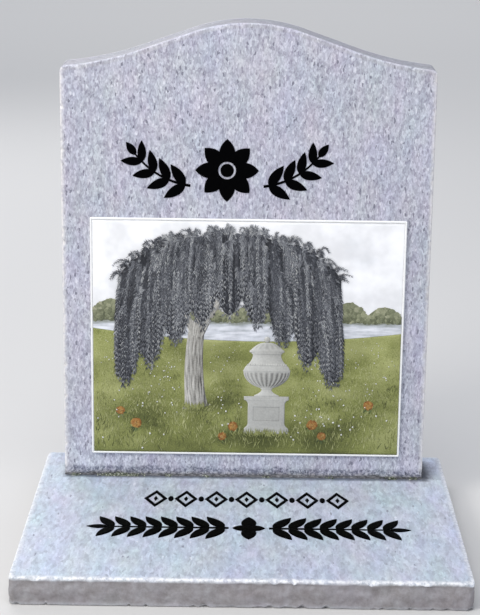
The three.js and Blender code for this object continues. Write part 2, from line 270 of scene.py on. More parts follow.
# Granite finish, shared by tablet and slab
tabletGranite = {
    "grain": 3.2,
    "fleck": 2.5,
    "lean": 0.22,  # the grains stand a little off the upright
    "stretch": (1, 1, 0.46),
    "minerals": [(0.0, "#9391a0"), (0.16, "#a6a6b3"), (0.42, "#b9bac6"), (0.72, "#cecfd9")],
    "patch": 9,
    "patchDepth": 0.05,
    "tint": 0.18,
    "darkFleck": "#6c6c7a",
    "fleckShare": 0.02,
    "roughness": (0.42, 0.62),
    "specular": 0.4,
    "relief": 0.3,
    "reliefDepth": 0.5,
}

slabGranite = {
    "grain": 5.2,
    "fleck": 2.6,
    "lean": 0.0,
    "stretch": (1, 0.34, 1),
    "minerals": [(0.0, "#a4aab6"), (0.12, "#b3bac6"), (0.4, "#bec6d2"), (0.74, "#cbd3de")],
    "patch": 12,
    "patchDepth": 0.08,
    "tint": 0.24,
    "darkFleck": "#858895",
    "fleckShare": 0.003,
    "roughness": (0.55, 0.75),
    "specular": 0.35,
    "relief": 0.45,
    "reliefDepth": 0.6,
}

grainShape = {
    "ragged": (0.9, 0.55),  # push and pitch of the uneven sides, in grains
    "crystals": 2.1,  # across one grain
    "crystalShare": 0.42,
    "tintScale": 26,
    "darkShare": 0.8,
    "paleShare": 0.45,
    "paleFleck": "#eeeef4",
    "pits": 900,
}

weathering = {
    "topFilm": "#b6b3af",
    "topShare": (0.7, 0.94),
    "edgeWearHighlightShare": 0.9,
    "tabletEdgeWearAndHighlight": "#eae7e3",
    "tabletGaps": 0.45,  # how much of the pale edge is left in its gaps
    "slabEdgeWearAndHighlight": "#f6f6f6",
    "slabGaps": 0.15,
    "paintedFootLight": 0.15,  # painted light: the lowest part of the tablet is painted up to this much paler, to lift the shade near the slab
    "footBandHeight": 18,
    "footBandWander": 22,
    "footGrimeAndShade": "#9da0a9",
    "footGrimeShadeTones": [(0.42, "#888a92"), (0.6, "#958984")],
    "streakColour": "#8f8c9c",
    "streakShare": 0.2,
    "slabStain": "#a89fae",
    "slabStainShare": 0.14,
    "jointGrimeAndShade": "#75777c",
    "shadeShift": 5,  # the grime and painted shade round the joint lie this far to the right, on the shadow side
    "grimeShadeReach": 17,
    "grimeShadeWander": 12,
    "grimeShadeShare": 0.85,
    "shadowReach": 40,  # a painted shadow on the slab, on the side away from the light
    "shadowShare": 0.68,
    "brokenFace": [(0.2, "#837b7a"), (0.45, "#9e9897"), (0.7, "#b5b1b2"), (0.9, "#c8c6c8")],
}


def graniteGrain(bench, g, s):
    grain = g["grain"] * mm
    push, pitch = s["ragged"]
    coords = bench.stretch(g["stretch"], turn=(0, g["lean"], 0))
    uneven = bench.colourWander((pitch / grain, 2.0, 0.6), push * grain, coords)
    loose = bench.vector("ADD", coords, uneven)
    grains = bench.channel(bench.cells(1 / grain, loose))
    colour = bench.ramp(grains, g["minerals"], steps=True)
    crystals = bench.channel(bench.cells(s["crystals"] / grain, loose), 1)
    colour = bench.blend(s["crystalShare"], colour, bench.ramp(crystals, g["minerals"], steps=True))
    depths = (1 - g["patchDepth"], 1 + g["patchDepth"])
    patches = bench.cloud((1 / (g["patch"] * mm), 2.0, 0.5), (0.25, 0.75), depths, coords, smooth=False)
    colour = bench.shaded(colour, patches)
    tint = bench.colourWander((s["tintScale"], 3.0, 0.55), g["tint"], coords)
    colour = bench.vector("MULTIPLY", colour, bench.vector("ADD", tint, (1, 1, 1)))
    flecks = bench.channel(bench.cells(1 / (g["fleck"] * mm), loose), 2)
    dark = bench.math("LESS_THAN", flecks, g["fleckShare"])
    pale = bench.math("GREATER_THAN", flecks, 1 - g["fleckShare"])
    colour = bench.blend(bench.times(dark, s["darkShare"]), colour, g["darkFleck"])
    colour = bench.blend(bench.times(pale, s["paleShare"]), colour, s["paleFleck"])
    rough = bench.span(grains, 0.0, 1.0, *g["roughness"], smooth=False)
    bench.bump(
        bench.plus(bench.times(grains, 0.5), bench.noise(s["pits"], 3.0, 0.6, coords)),
        g["relief"], g["reliefDepth"] * mm,
    )
    return colour, rough


# Arrises are painted pale all but in their gaps: partly rubbed wear, partly a painted highlight where the
# edge catches the light
def paleArrisAndHighlight(bench, colour, pale, share, gaps, hide=0.0):
    left = bench.cloud((160, 4.0, 0.65), (0.32, 0.6), (gaps, 1.0))
    amount = bench.times(bench.math("POWER", bench.attribute("arris"), 1.4), left, bench.minus(1.0, hide))
    return bench.blend(bench.times(amount, share), colour, pale)


def tabletFinish(g, w, foot):
    bench = Bench("tabletGranite")
    colour, rough = graniteGrain(bench, g, grainShape)
    top = bench.attribute("top")
    film = bench.cloud((60, 5.0, 0.6), (0.3, 0.7), w["topShare"])
    film = bench.times(film, top, bench.minus(1.0, bench.attribute("arris")))
    colour = bench.blend(film, colour, w["topFilm"], "MULTIPLY")
    hide = bench.times(top, 0.8)
    colour = paleArrisAndHighlight(bench, colour, w["tabletEdgeWearAndHighlight"], w["edgeWearHighlightShare"], w["tabletGaps"], hide)
    rise = w["footBandHeight"] * mm
    level = bench.plus(bench.axis("Z"), bench.wander((48, 6.0, 0.62), w["footBandWander"] * mm))
    # Painted light: the stone is painted paler towards its foot, to lift the shade that falls near the slab
    paintedFootLight = bench.span(level, foot + 4 * rise, foot + rise, 1.0, 1.0 + w["paintedFootLight"])
    colour = bench.shaded(colour, paintedFootLight)
    # Grime and painted shade: a mottled darker band at the foot, and a darker one still at the joint
    grime = bench.span(level, foot + rise, foot + 0.6 * rise)
    mottled = bench.cloud((290, 3.0, 0.62), (0.42, 0.58), (0.25, 1.0))
    colour = bench.blend(bench.times(grime, mottled), colour, w["footGrimeAndShade"], "MULTIPLY")
    grimeAndShadeAtFoot = bench.span(level, foot + 0.45 * rise, foot, 0.0, 0.45)
    colour = bench.blend(grimeAndShadeAtFoot, colour, bench.ramp(bench.noise(6, 3.0, 0.5), w["footGrimeShadeTones"]), "MULTIPLY")
    upright = bench.stretch((55, 55, 3.2))
    streaks = bench.cloud((1, 5.0, 0.6), (0.6, 0.74), (0.0, w["streakShare"]), upright)
    colour = bench.blend(streaks, colour, w["streakColour"])
    return bench.finish(colour, rough, g["specular"])


# Grime and painted shade gather round the tablet, whose box runs from low to high, with a wider painted
# shadow to its right
def jointGrimeAndShade(bench, colour, w, low, high):
    shift, reach, shadowWidth = (w[key] * mm for key in ("shadeShift", "grimeShadeReach", "shadowReach"))
    ragged = bench.wander((70, 5.0, 0.65), w["grimeShadeWander"] * mm)
    aside = bench.minus(bench.axis("X"), shift)
    beside = bench.minus(bench.math("ABSOLUTE", aside), high.x - shift)
    before = bench.minus(low.y, bench.axis("Y"))
    behind = bench.minus(bench.axis("Y"), high.y)
    away = bench.math("MAXIMUM", bench.math("MAXIMUM", before, behind), beside)
    # Grime and painted shade: the slab darkens close round the tablet's foot
    near = bench.span(bench.plus(away, ragged), reach, 0.3 * reach, 0.0, w["grimeShadeShare"])
    onTop = bench.span(bench.axis("Z"), low.z - 0.008, low.z - 0.004)
    colour = bench.blend(bench.times(near, onTop), colour, w["jointGrimeAndShade"], "MULTIPLY")
    # Painted shadow: a wider dark band on the slab to the right of the tablet, away from the key light
    paintedShadow = bench.span(bench.plus(aside, ragged), high.x + shadowWidth, high.x, 0.0, w["shadowShare"])
    depth = bench.times(bench.span(before, 0.006, -0.008), bench.span(behind, 0.02, -0.02))
    paintedShadow = bench.times(paintedShadow, depth, onTop, bench.span(aside, high.x - shadowWidth, high.x - shadowWidth / 2))
    return bench.blend(paintedShadow, colour, w["jointGrimeAndShade"], "MULTIPLY")


def slabFinish(g, w, low, high):
    bench = Bench("slabGranite")
    colour, rough = graniteGrain(bench, g, grainShape)
    rock = bench.ramp(bench.noise(55, 6.0, 0.7), w["brokenFace"])
    rock = bench.blend(0.35, rock, colour, "MULTIPLY")
    colour = bench.blend(bench.attribute("broken"), colour, rock)
    colour = paleArrisAndHighlight(bench, colour, w["slabEdgeWearAndHighlight"], w["edgeWearHighlightShare"], w["slabGaps"])
    lengthwise = bench.stretch((1, 0.4, 1))
    stain = bench.cloud((9, 5.0, 0.6), (0.52, 0.75), (0.0, w["slabStainShare"]), lengthwise)
    colour = bench.blend(stain, colour, w["slabStain"])
    colour = jointGrimeAndShade(bench, colour, w, low, high)
    return bench.finish(colour, rough, g["specular"])


# Stone blocks: a loop of four sides, arrises with chips, and a grid on both faces

def unit(x):
    return np.clip(x, 0, 1)


# One row of three for each point, from columns or single values
def rowsOf(*columns):
    return np.column_stack(np.broadcast_arrays(*columns))


def atDepth(flat, depth):
    return np.column_stack([flat, np.broadcast_to(depth, len(flat))])


def arcPoints(centre, radius, start, end, count):
    turn = np.radians(np.linspace(start, end, count))
    return np.column_stack([centre[0] + radius * np.cos(turn), centre[1] + radius * np.sin(turn)])


def lengthAlong(line):
    return np.concatenate([[0], np.cumsum(np.linalg.norm(np.diff(line, axis=0), axis=1))])


def pointsAt(line, run, at):
    return np.column_stack([np.interp(at, run, line[:, k]) for k in (0, 1)])


# Points along a polyline, closer together towards its ends
def spaced(line, count):
    run = lengthAlong(line)
    t = np.linspace(0, 1, count + 1)
    t = 0.55 * t + 0.45 * (0.5 - 0.5 * np.cos(math.pi * t))
    return pointsAt(line, run, t * run[-1])


def loopOf(sides):
    return np.vstack([side[:-1] for side in sides])


# The loop of sides moved inwards, each point also sliding off its corner so that nothing folds
def pulledIn(sides, inset):
    inset = np.broadcast_to(inset, len(loopOf(sides)))
    starts, ends, start = [], [], 0
    for side in sides:
        count = len(side) - 1
        mine = np.append(inset[start:start + count], inset[(start + count) % len(inset)])
        start += count
        run = lengthAlong(side)
        along = np.gradient(side, run, axis=0)
        along /= np.linalg.norm(along, axis=1)[:, None]
        slid = run + mine * (1 - 2 * run / run[-1])
        out = pointsAt(along, run, slid)[:, ::-1] * (1, -1)
        line = pointsAt(side, run, slid) - out * mine[:, None]
        starts.append(line[:-1])
        ends.append(line[-1])
    for k, line in enumerate(starts):
        line[0] = (line[0] + ends[k - 1]) / 2
    return np.vstack(starts)


# How deep the arris is chipped at each point of the loop
def chipLine(loop, dice, shape, count):
    run = np.cumsum(np.linalg.norm(loop - np.roll(loop, 1, axis=0), axis=1))
    total = run[-1]
    least, most = shape["chipDepth"]
    bite = np.zeros(len(loop))
    centres = dice.uniform(0, total, count)
    widths = dice.uniform(*shape["chipWidth"], count)
    for centre, half, draw in zip(centres, widths, dice.uniform(0, 1, count)):
        away = np.abs((run - centre + total / 2) % total - total / 2)
        bite = np.maximum(bite, (least + (most - least) * draw ** 3) * unit(1 - (away / half) ** 2))
    return bite


# Rings of one rounded arris, from the face round to the side. Each holds an inset, a depth, and
# how strong the arris mark and a second mark are. A chip is hollow where a plain arris is round.
def arrisRings(radius, bite, thickness, second, fade=1.0, near=True):
    rings = []
    reach = radius + bite
    for degrees, mark in ((90, 0.7), (66, 0.95), (45, 1.0), (22, 1.0), (0, 0.8)):
        turn = math.radians(degrees)
        hollow = 0.35 * bite * math.sin(2 * turn)
        inset = reach * (1 - math.cos(turn)) + hollow
        depth = reach * (1 - math.sin(turn)) + hollow
        rings.append((inset, depth if near else thickness - depth, (fade * mark, second)))
    return rings if near else rings[::-1]


# A smooth grid of points inside a ring of 2 * (across + up) points
def gridInside(ring, across, up):
    bottom = ring[:across + 1]
    right = ring[across:across + up + 1]
    top = ring[across + up:2 * across + up + 1][::-1]
    left = np.vstack([ring[2 * across + up:], ring[:1]])[::-1]
    u = np.linspace(0, 1, across + 1)[None, :, None]
    v = np.linspace(0, 1, up + 1)[:, None, None]
    lines = (1 - v) * bottom[None] + v * top[None] + (1 - u) * left[:, None] + u * right[:, None]
    corners = (1 - v) * ((1 - u) * bottom[0] + u * bottom[-1]) + v * ((1 - u) * top[0] + u * top[-1])
    return lines - corners


# The quads of a grid of points numbered from a first one, and its rim in order
def gridFaces(rows, cols, first=0):
    index = first + np.arange(rows * cols).reshape(rows, cols)
    quads = np.stack([index[:-1, :-1], index[:-1, 1:], index[1:, 1:], index[1:, :-1]], -1)
    rim = np.concatenate([index[0, :-1], index[:-1, -1], index[-1, :0:-1], index[:0:-1, 0]])
    return quads.reshape(-1, 4), rim


# Vertices in (a, b, depth), faces, and two marks for each vertex. The rings run from the near
# face to the far one, three points of a ring to one of the grid that fills each face.
def stoneBlock(sides, shape, rings, thickness):
    face = shape["arris"] + shape["chipDepth"][1] + shape["faceInset"]
    rings = [(face, 0.0, (0, 0)), *rings, (face, thickness, (0, 0))]
    across, up = shape["grid"]
    size = len(loopOf(sides))
    verts, marks, faces = [], [], []
    for inset, depth, mark in rings:
        verts.append(atDepth(pulledIn(sides, inset), depth))
        marks.append(np.column_stack([np.broadcast_to(m, size) for m in mark]))
    step = np.arange(size)
    ahead = (step + 1) % size
    for k in range(len(rings) - 1):
        a, b = k * size, (k + 1) * size
        faces += np.column_stack([a + step, b + step, b + ahead, a + ahead]).tolist()
    count = size * len(rings)
    grid = gridInside(pulledIn(sides, face + shape["gridInset"])[::3], across, up)
    rows, cols = grid.shape[:2]
    for start, level in ((0, 0.0), (count - size, thickness)):
        verts.append(atDepth(grid.reshape(-1, 2), level))
        marks.append(np.zeros((rows * cols, 2)))
        quads, rim = gridFaces(rows, cols, count)
        belt = []
        for i in range(len(rim)):
            outer = [start + (3 * i + k) % size for k in range(4)]
            belt.append([*outer, int(rim[(i + 1) % len(rim)]), int(rim[i])])
        if start:
            quads = quads[:, ::-1]
            belt = [corners[::-1] for corners in belt]
        faces += quads.tolist() + belt
        count += rows * cols
    return np.vstack(verts), faces, np.vstack(marks)


def newPiece(name, verts, faces, material, attributes, smooth=True):
    mesh = bpy.data.meshes.new(name)
    mesh.from_pydata(np.asarray(verts, float).tolist(), [], faces)
    for key, values in attributes.items():
        layer = mesh.attributes.new(key, "FLOAT", "POINT")
        layer.data.foreach_set("value", np.asarray(values, np.float32))
    mesh.polygons.foreach_set("use_smooth", [smooth] * len(mesh.polygons))
    mesh.materials.append(material)
    mesh.validate()
    mesh.update()
    piece = bpy.data.objects.new(name, mesh)
    bpy.context.scene.collection.objects.link(piece)
    return piece


def settle(piece, slot, *nodes):
    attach(piece, "root")
    if nodes:
        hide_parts(*nodes)


# Tablet
tabletShape = {
    "crownRadius": 274,
    "sweepRadius": 521,
    "flank": 19.15,  # degrees
    "fall": 5.6,
    "shoulder": 10,
    "grid": (104, 116),
    "arris": 2.8,
    "faceInset": 2.5,  # the flat of the face starts this far past the deepest chip
    "gridInset": 4,
    "chips": 120,
    "chipWidth": (2.5, 9),
    "chipDepth": (0.3, 3.6),
    "sway": 0.25,  # how far the sawn sides wander
    "swayPitch": 0.01,
    "seed": 11,
}


def tabletSides(t, width, height):
    half = width / 2
    crown, sweep, r = t["crownRadius"], t["sweepRadius"], t["shoulder"]
    flank, fall = math.radians(t["flank"]), math.radians(t["fall"])
    crownZ = height - crown
    flankX, flankZ = crown * math.sin(flank), crownZ + crown * math.cos(flank)
    sweepEnd = half - r * (1 - math.sin(fall))
    sweepRun = sweep * (math.sin(flank) - math.sin(fall))
    drop = (sweepEnd - flankX - sweepRun) * math.tan(flank)
    sweepX = sweepEnd - sweepRun + sweep * math.sin(flank)
    sweepZ = flankZ - drop + sweep * math.cos(flank)
    shoulder = (half - r, sweepZ - (sweep + r) * math.cos(fall))
    middle = 45 - t["fall"] / 2
    side = np.vstack([[(half, 0), (half, shoulder[1])], arcPoints(shoulder, r, 0, middle, 8)[1:]])
    top = np.vstack([
        arcPoints(shoulder, r, middle, 90 - t["fall"], 8),
        arcPoints((sweepX, sweepZ), sweep, -90 - t["fall"], -90 - t["flank"], 30),
        arcPoints((0, crownZ), crown, 90 - t["flank"], 90, 40),
    ])
    top = np.vstack([top, (top * (-1, 1))[-2::-1]])
    across, up = 3 * t["grid"][0], 3 * t["grid"][1]
    bottom = spaced(np.array([(-half, 0), (half, 0)], float), across)
    right = spaced(side, up)
    left = (right * (-1, 1))[::-1]
    return [bottom, right, spaced(top, across), left]


def makeTablet(t):
    low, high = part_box("tablet")
    width, thickness, height = (high - low) / mm
    dice = np.random.default_rng(t["seed"])
    sides = tabletSides(t, width, height)
    loop = loopOf(sides)
    frontBite, backBite = (chipLine(loop, dice, t, t["chips"]) for _ in range(2))
    top = np.concatenate([np.full(len(side) - 1, float(k == 2)) for k, side in enumerate(sides)])
    wave = [noise.noise(Vector((*(t["swayPitch"] * p), 3.0))) for p in loop]
    sway = np.abs(t["sway"] * np.array(wave))
    rings = arrisRings(t["arris"], frontBite, thickness, top)
    for share in (0.1, 0.3, 0.5, 0.7, 0.9):
        rings.append((sway * math.sin(math.pi * share), share * thickness, (0, top)))
    rings += arrisRings(t["arris"], backBite, thickness, 0.15 * top, near=False)
    flat, faces, marks = stoneBlock(sides, t, rings, thickness)
    across, up, back = (flat * mm).T
    verts = rowsOf((low.x + high.x) / 2 + across, low.y + back, low.z + up)
    finish = tabletFinish(tabletGranite, weathering, low.z)
    piece = newPiece("tabletStone", verts, faces, finish, {"arris": marks[:, 0], "top": marks[:, 1]})
    settle(piece, "tablet_granite", "tablet")


makeTablet(tabletShape)
print("tablet cut")


# Base slab
slabShape = {
    "corner": 9,
    "grid": (104, 82),
    "arris": 2.8,
    "faceInset": 2.5,
    "gridInset": 4,
    "chips": 330,
    "chipWidth": (2.5, 8),
    "chipDepth": (0.4, 5.0),
    "roughness": 2.6,  # how far the broken front face wanders
    "sawn": 0.7,  # and the others
    "bulge": 1.2,
    "seed": 23,
}


def slabSides(s, width, depth):
    w, d, r = width / 2, depth / 2, s["corner"]
    corners = [(-w + r, -d + r), (w - r, -d + r), (w - r, d - r), (-w + r, d - r)]
    sides = []
    for k in range(4):
        a, b = corners[k], corners[(k + 1) % 4]
        angle = -90 + 90 * k
        line = np.vstack([arcPoints(a, r, angle - 45, angle, 6), arcPoints(b, r, angle, angle + 45, 6)])
        sides.append(spaced(line, 3 * s["grid"][k % 2]))
    return sides


def makeSlab(s):
    low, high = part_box("base_slab")
    width, depth, height = (high - low) / mm
    dice = np.random.default_rng(s["seed"])
    sides = slabSides(s, width, depth)
    loop = loopOf(sides)
    front = unit((-loop[:, 1] - depth / 2 + 14) / 10)
    bite, under = (chipLine(loop, dice, s, s["chips"] // k) * (0.35 + 0.65 * front) for k in (1, 2))
    rings = arrisRings(s["arris"], bite, height, 0.25)
    for share in np.linspace(0.16, 0.86, 11):
        spots = (Vector((*(0.035 * p), 2.4 * share)) for p in loop)
        rough = np.array([noise.fractal(spot, 0.9, 2.1, 5) for spot in spots])
        swing = (s["sawn"] + (s["roughness"] - s["sawn"]) * front) * (0.5 + rough)
        bulge = s["bulge"] * front * (1 - abs(2 * share - 1))
        rings.append((np.clip(swing, 0, None) - bulge, share * height, (0, 1)))
    rings += arrisRings(s["arris"], under, height, 0.8, fade=0.3, near=False)
    flat, faces, marks = stoneBlock(sides, s, rings, height)
    across, ahead, down = (flat * mm).T
    verts = rowsOf((low.x + high.x) / 2 + across, (low.y + high.y) / 2 + ahead, high.z - down)
    finish = slabFinish(slabGranite, weathering, *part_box("tablet"))
    piece = newPiece("slabStone", verts, faces, finish, {"arris": marks[:, 0], "broken": marks[:, 1]})
    settle(piece, "slab_granite", "base_slab")


makeSlab(slabShape)
print("slab cut")


# Reliefs: local points are (right, up, towards the viewer) in millimetres

ownMapFrom = 24  # solids in a piece, from which it gets a bake map of its own


class Heap:
    def __init__(self):
        self.verts, self.faces, self.tones, self.patches = [], [], [], []
        self.count = 0
        self.patchCount = 0

    def add(self, verts, faces, tone):
        self.faces += [[i + self.count for i in face] for face in faces]
        self.verts.append(verts)
        self.tones.append(np.broadcast_to(tone, len(verts)))
        self.patches.append(np.full(len(verts), self.patchCount))
        self.count += len(verts)
        self.patchCount += 1

    # A grid of points (rows, columns, 3) seen from the front, closed with walls and a back
    def addGrid(self, front, back, tone, hidden=None):
        quads, rim = gridFaces(*front.shape[:2])
        verts = front.reshape(-1, 3)
        far = verts[rim] * (1, 1, 0) + (0, 0, back)
        faces = quads.tolist()
        count = len(verts)
        for i in range(len(rim)):
            j = (i + 1) % len(rim)
            faces.append([int(rim[j]), int(rim[i]), count + i, count + j])
        faces.append([count + i for i in range(len(rim))][::-1])
        seen = np.broadcast_to(tone, front.shape[:2]).ravel()
        unseen = np.full(len(rim), seen.mean() if hidden is None else hidden)
        self.add(np.vstack([verts, far]), faces, np.append(seen, unseen))

    # Copies of one small solid: places (n, 3), turns in radians, sizes (n, 3), tones (n)
    def scatter(self, template, places, turns, sizes, tones):
        verts, faces = template
        many, each = len(places), len(verts)
        shape = verts[None] * sizes[:, None]
        c, s = np.cos(turns)[:, None], np.sin(turns)[:, None]
        right = shape[..., 0] * c - shape[..., 1] * s
        up = shape[..., 0] * s + shape[..., 1] * c
        placed = np.stack([right, up, shape[..., 2]], -1) + places[:, None]
        self.verts.append(placed.reshape(-1, 3))
        starts = self.count + each * np.arange(many)
        for face in faces:
            self.faces += (starts[:, None] + np.array(face)).tolist()
        self.tones.append(np.repeat(tones, each))
        self.patches.append(self.patchCount + np.repeat(np.arange(many), each))
        self.count += many * each
        self.patchCount += many

    # The stand is where local (0, 0, 0) goes. Lying pieces face up, the others face the viewer.
    def build(self, name, stand, material, lying=False, smooth=True):
        right, up, out = (np.vstack(self.verts) * mm).T
        verts = rowsOf(right, up, out) if lying else rowsOf(right, -out, up)
        tones = {"tone": np.concatenate(self.tones)}
        piece = newPiece(name, verts + stand, self.faces, material, tones, smooth)
        if self.patchCount >= ownMapFrom:
            self.unwrap(piece.data)
        return piece

    # Each small solid gets its own square of the bake map, so that its colour bakes clean
    def unwrap(self, mesh):
        side = math.ceil(math.sqrt(self.patchCount))
        patch = np.concatenate(self.patches)
        local = np.vstack(self.verts)[:, :2]
        first = np.searchsorted(patch, np.arange(self.patchCount))
        counts = np.append(first[1:], len(patch)) - first
        low = np.minimum.reduceat(local, first)
        high = np.maximum.reduceat(local, first)
        reach = np.maximum((high - low).max(1), 1e-6)
        inside = (local - np.repeat(low, counts, axis=0)) / np.repeat(reach, counts)[:, None]
        cell = np.column_stack([patch % side, patch // side])
        uv = (cell + 0.15 + 0.7 * inside) / side
        corner = np.empty(len(mesh.loops), np.int32)
        mesh.loops.foreach_get("vertex_index", corner)
        layer = mesh.uv_layers.new(name="OFBake")
        layer.data.foreach_set("uv", uv[corner].astype(np.float32).ravel())


def bladeShape(waist):
    verts = [(0, 0, 0), (0.5, waist, 0), (0, 1, 0), (-0.5, waist, 0), (0, waist * 0.9, 1)]
    return np.array(verts, float), [(0, 1, 4), (1, 2, 4), (2, 3, 4), (3, 0, 4), (0, 3, 2, 1)]


def domeShape(around, levels):
    verts, faces = [], []
    for k in range(levels):
        tip = math.pi / 2 * k / levels
        for i in range(around):
            turn = math.tau * (i + 0.5 * (k % 2)) / around
            verts.append((math.cos(tip) * math.cos(turn), math.cos(tip) * math.sin(turn), math.sin(tip)))
    verts.append((0, 0, 1))
    for k in range(levels - 1):
        for i in range(around):
            a, b = k * around + i, k * around + (i + 1) % around
            faces.append((a, b, b + around, a + around))
    last = (levels - 1) * around
    for i in range(around):
        faces.append((last + i, last + (i + 1) % around, len(verts) - 1))
    faces.append(tuple(range(around))[::-1])
    return np.array(verts, float), faces


# Rings of equal length joined in order; the first and last are closed, or joined to each other
def loft(rings, hollow=False):
    size = len(rings[0])
    step = np.arange(size)
    ahead = (step + 1) % size
    faces = []
    for k in range(len(rings) - (0 if hollow else 1)):
        a, b = k * size, (k + 1) % len(rings) * size
        faces += np.column_stack([a + step, a + ahead, b + ahead, b + step]).tolist()
    if not hollow:
        faces.append(list(range(size))[::-1])
        faces.append([(len(rings) - 1) * size + i for i in range(size)])
    return np.vstack(rings), faces


def waver(x, y, scale, seed, octaves):
    flat = zip(np.ravel(x), np.ravel(y))
    values = [noise.fractal(Vector((a * scale, b * scale, seed)), 1.0, 2.0, octaves) for a, b in flat]
    return np.reshape(values, np.shape(x))


def eased(x, edges, width):
    low, high = edges
    return np.sqrt(1 - (1 - unit(np.minimum(x - low, high - x) / width)) ** 2)


# A painted or glazed finish from the "tone" of each point. Gloss is roughness, specular and coat;
# mottle is the pitch and the depth of small changes of tone.
def toned(name, p):
    bench = Bench(name)
    scale, amount = p["mottle"]
    shift = bench.cloud((scale, 4.0, 0.65), (0.25, 0.75), (-amount, amount))
    colour = bench.ramp(bench.math("ADD", bench.attribute("tone"), shift, clamp=True), p["tones"])
    colour = bench.shaded(colour, bench.cloud((18, 3.0, 0.6), (0.3, 0.7), (0.86, 1.06)))
    bench.bump(bench.noise(scale * 4, 3.0, 0.6), p["relief"], 0.2 * mm)
    return bench.finish(colour, *p["gloss"], 0.25)


# Plaque: a white glazed plate with a rolled rim
plaqueShape = {
    "corner": 2.0,
    "rim": 3.5,
    "fieldDepth": 2.0,
    "wave": 0.12,
    "glaze": "#f7f7f5",
    "dust": "#e6e6e2",
    "wear": "#a9a49c",
}


def rectLoop(width, height, radius, along):
    corners = []
    for k, (sx, sy) in enumerate(((1, -1), (1, 1), (-1, 1), (-1, -1))):
        centre = (sx * (width / 2 - radius), sy * (height / 2 - radius))
        corners.append(arcPoints(centre, radius, -90 + 90 * k, 90 * k, 5))
    points = []
    for k, corner in enumerate(corners):
        points += [corner, np.linspace(corner[-1], corners[(k + 1) % 4][0], along + 2)[1:-1]]
    return np.vstack(points)


def glazedWhite(p):
    bench = Bench("whiteGlaze")
    colour = bench.blend(bench.cloud((24, 5.0, 0.65), (0.5, 0.78), (0.0, 0.35)), p["glaze"], p["dust"])
    uneven = bench.vector("ADD", bench.coords, bench.colourWander((60, 2.0, 0.6), 0.004, bench.coords))
    crazing = bench.cells(120, uneven, "Distance", "DISTANCE_TO_EDGE")
    colour = bench.blend(bench.span(crazing, 0.0, 0.012, 0.35, 0.0), colour, p["wear"])
    edge = bench.span(bench.attribute("tone"), 0.0, 1.0, 0.0, 0.55)
    grime = bench.times(edge, bench.cloud((90, 4.0, 0.7), (0.35, 0.65)))
    colour = bench.blend(grime, colour, p["wear"])
    rough = bench.cloud((60, 3.0, 0.6), (0.3, 0.7), (0.16, 0.32))
    bench.bump(bench.noise(140, 3.0, 0.5), 0.06, 0.4 * mm)
    return bench.finish(colour, rough, 0.45, 0.4, 0.12)


def makePlaque(p):
    low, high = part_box("plaque")
    width, thick, height = (high - low) / mm
    floor = thick - p["fieldDepth"]
    # inset from the outline, height over the stone, dirt
    profile = [
        (0.5, 0.0, 1.0), (0.15, 0.35, 0.9), (0.0, 1.0, 0.6), (0.0, thick - 1.4, 0.05),
        (0.25, thick - 0.55, 0.0), (0.8, thick - 0.12, 0.0), (1.4, thick, 0.0), (2.2, thick, 0.0),
        (2.8, thick - 0.2, 0.0), (3.2, thick - 0.7, 0.1), (3.45, floor + 0.5, 0.5),
        (3.8, floor + 0.12, 0.9), (5.0, floor, 0.4),
    ]
    rings, tones = [], []
    for inset, out, dirt in profile:
        corner = max(p["corner"] - 0.6 * inset, 0.4)
        ring = rectLoop(width - 2 * inset, height - 2 * inset, corner, 60)
        sway = p["wave"] * waver(ring[:, 0], ring[:, 1], 0.03, 7.0, 3) * (out > 1)
        rings.append(atDepth(ring, np.minimum(out + sway, thick)))
        tones.append(np.full(len(ring), dirt))
    heap = Heap()
    heap.add(*loft(rings), np.concatenate(tones))
    stand = ((low.x + high.x) / 2, high.y, (low.z + high.z) / 2)
    settle(heap.build("plaquePlate", stand, glazedWhite(p)), "white_glaze", "plaque")


makePlaque(plaqueShape)
print("plaque pressed")


# Picture on the plaque. Its stand is the middle of the field's foot.
plaqueLow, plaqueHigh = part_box("plaque")
skyLow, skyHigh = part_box("picture_sky")
pictureStand = ((plaqueLow.x + plaqueHigh.x) / 2, skyHigh.y, plaqueLow.z + plaqueShape["rim"] * mm)
halfField = (skyHigh.x - skyLow.x) / mm / 2
skyTop = (skyHigh.z - pictureStand[2]) / mm

scenery = {
    "shore": 232,
    "bank": (218, 180, 214),  # left, middle, right
    "standing": ((34, 26, 206, 42), (-86, 74, 230, 24)),  # x, foot, top, half width
    "standOut": 1.95,  # standing things start here, over the field
    "seed": 5,
}

sky = {
    "cloud": 0.13,
    "tones": [(0.0, "#eef0f3"), (0.4, "#f9f9fa"), (1.0, "#ffffff")],
    "gloss": (0.3, 0.4, 0.4),
    "mottle": (60, 0.05),
    "relief": 0.05,
}

water = {
    "ripple": 0.16,
    "tones": [(0.0, "#8d9188"), (0.35, "#b9bec2"), (0.65, "#d3d6dc"), (1.0, "#eceef3")],
    "gloss": (0.22, 0.5, 0.5),
    "mottle": (120, 0.08),
    "relief": 0.05,
}

farTrees = {
    "tops": (262, 274, 268, 281, 264, 256, 266, 277, 270),
    "rise": 16,
    "count": 900,
    "size": (2.2, 5.2),
    "out": 1.45,
    "reeds": 260,
    "reedOut": 2.0,
    "reedWidth": (0.8, 1.6),
    "reedHeight": (2.5, 6.5),
    "tones": [(0.0, "#5c6049"), (0.35, "#7c8064"), (0.7, "#989a7c"), (1.0, "#b0af94")],
    "gloss": (0.5, 0.25, 0.15),
    "mottle": (420, 0.14),
    "relief": 0.12,
}

meadow = {
    "swell": 0.18,
    "tones": [(0.0, "#5b6036"), (0.3, "#868b4f"), (0.6, "#a6a96e"), (1.0, "#c6c792")],
    "gloss": (0.55, 0.2, 0.12),
    "mottle": (520, 0.16),
    "relief": 0.12,
}

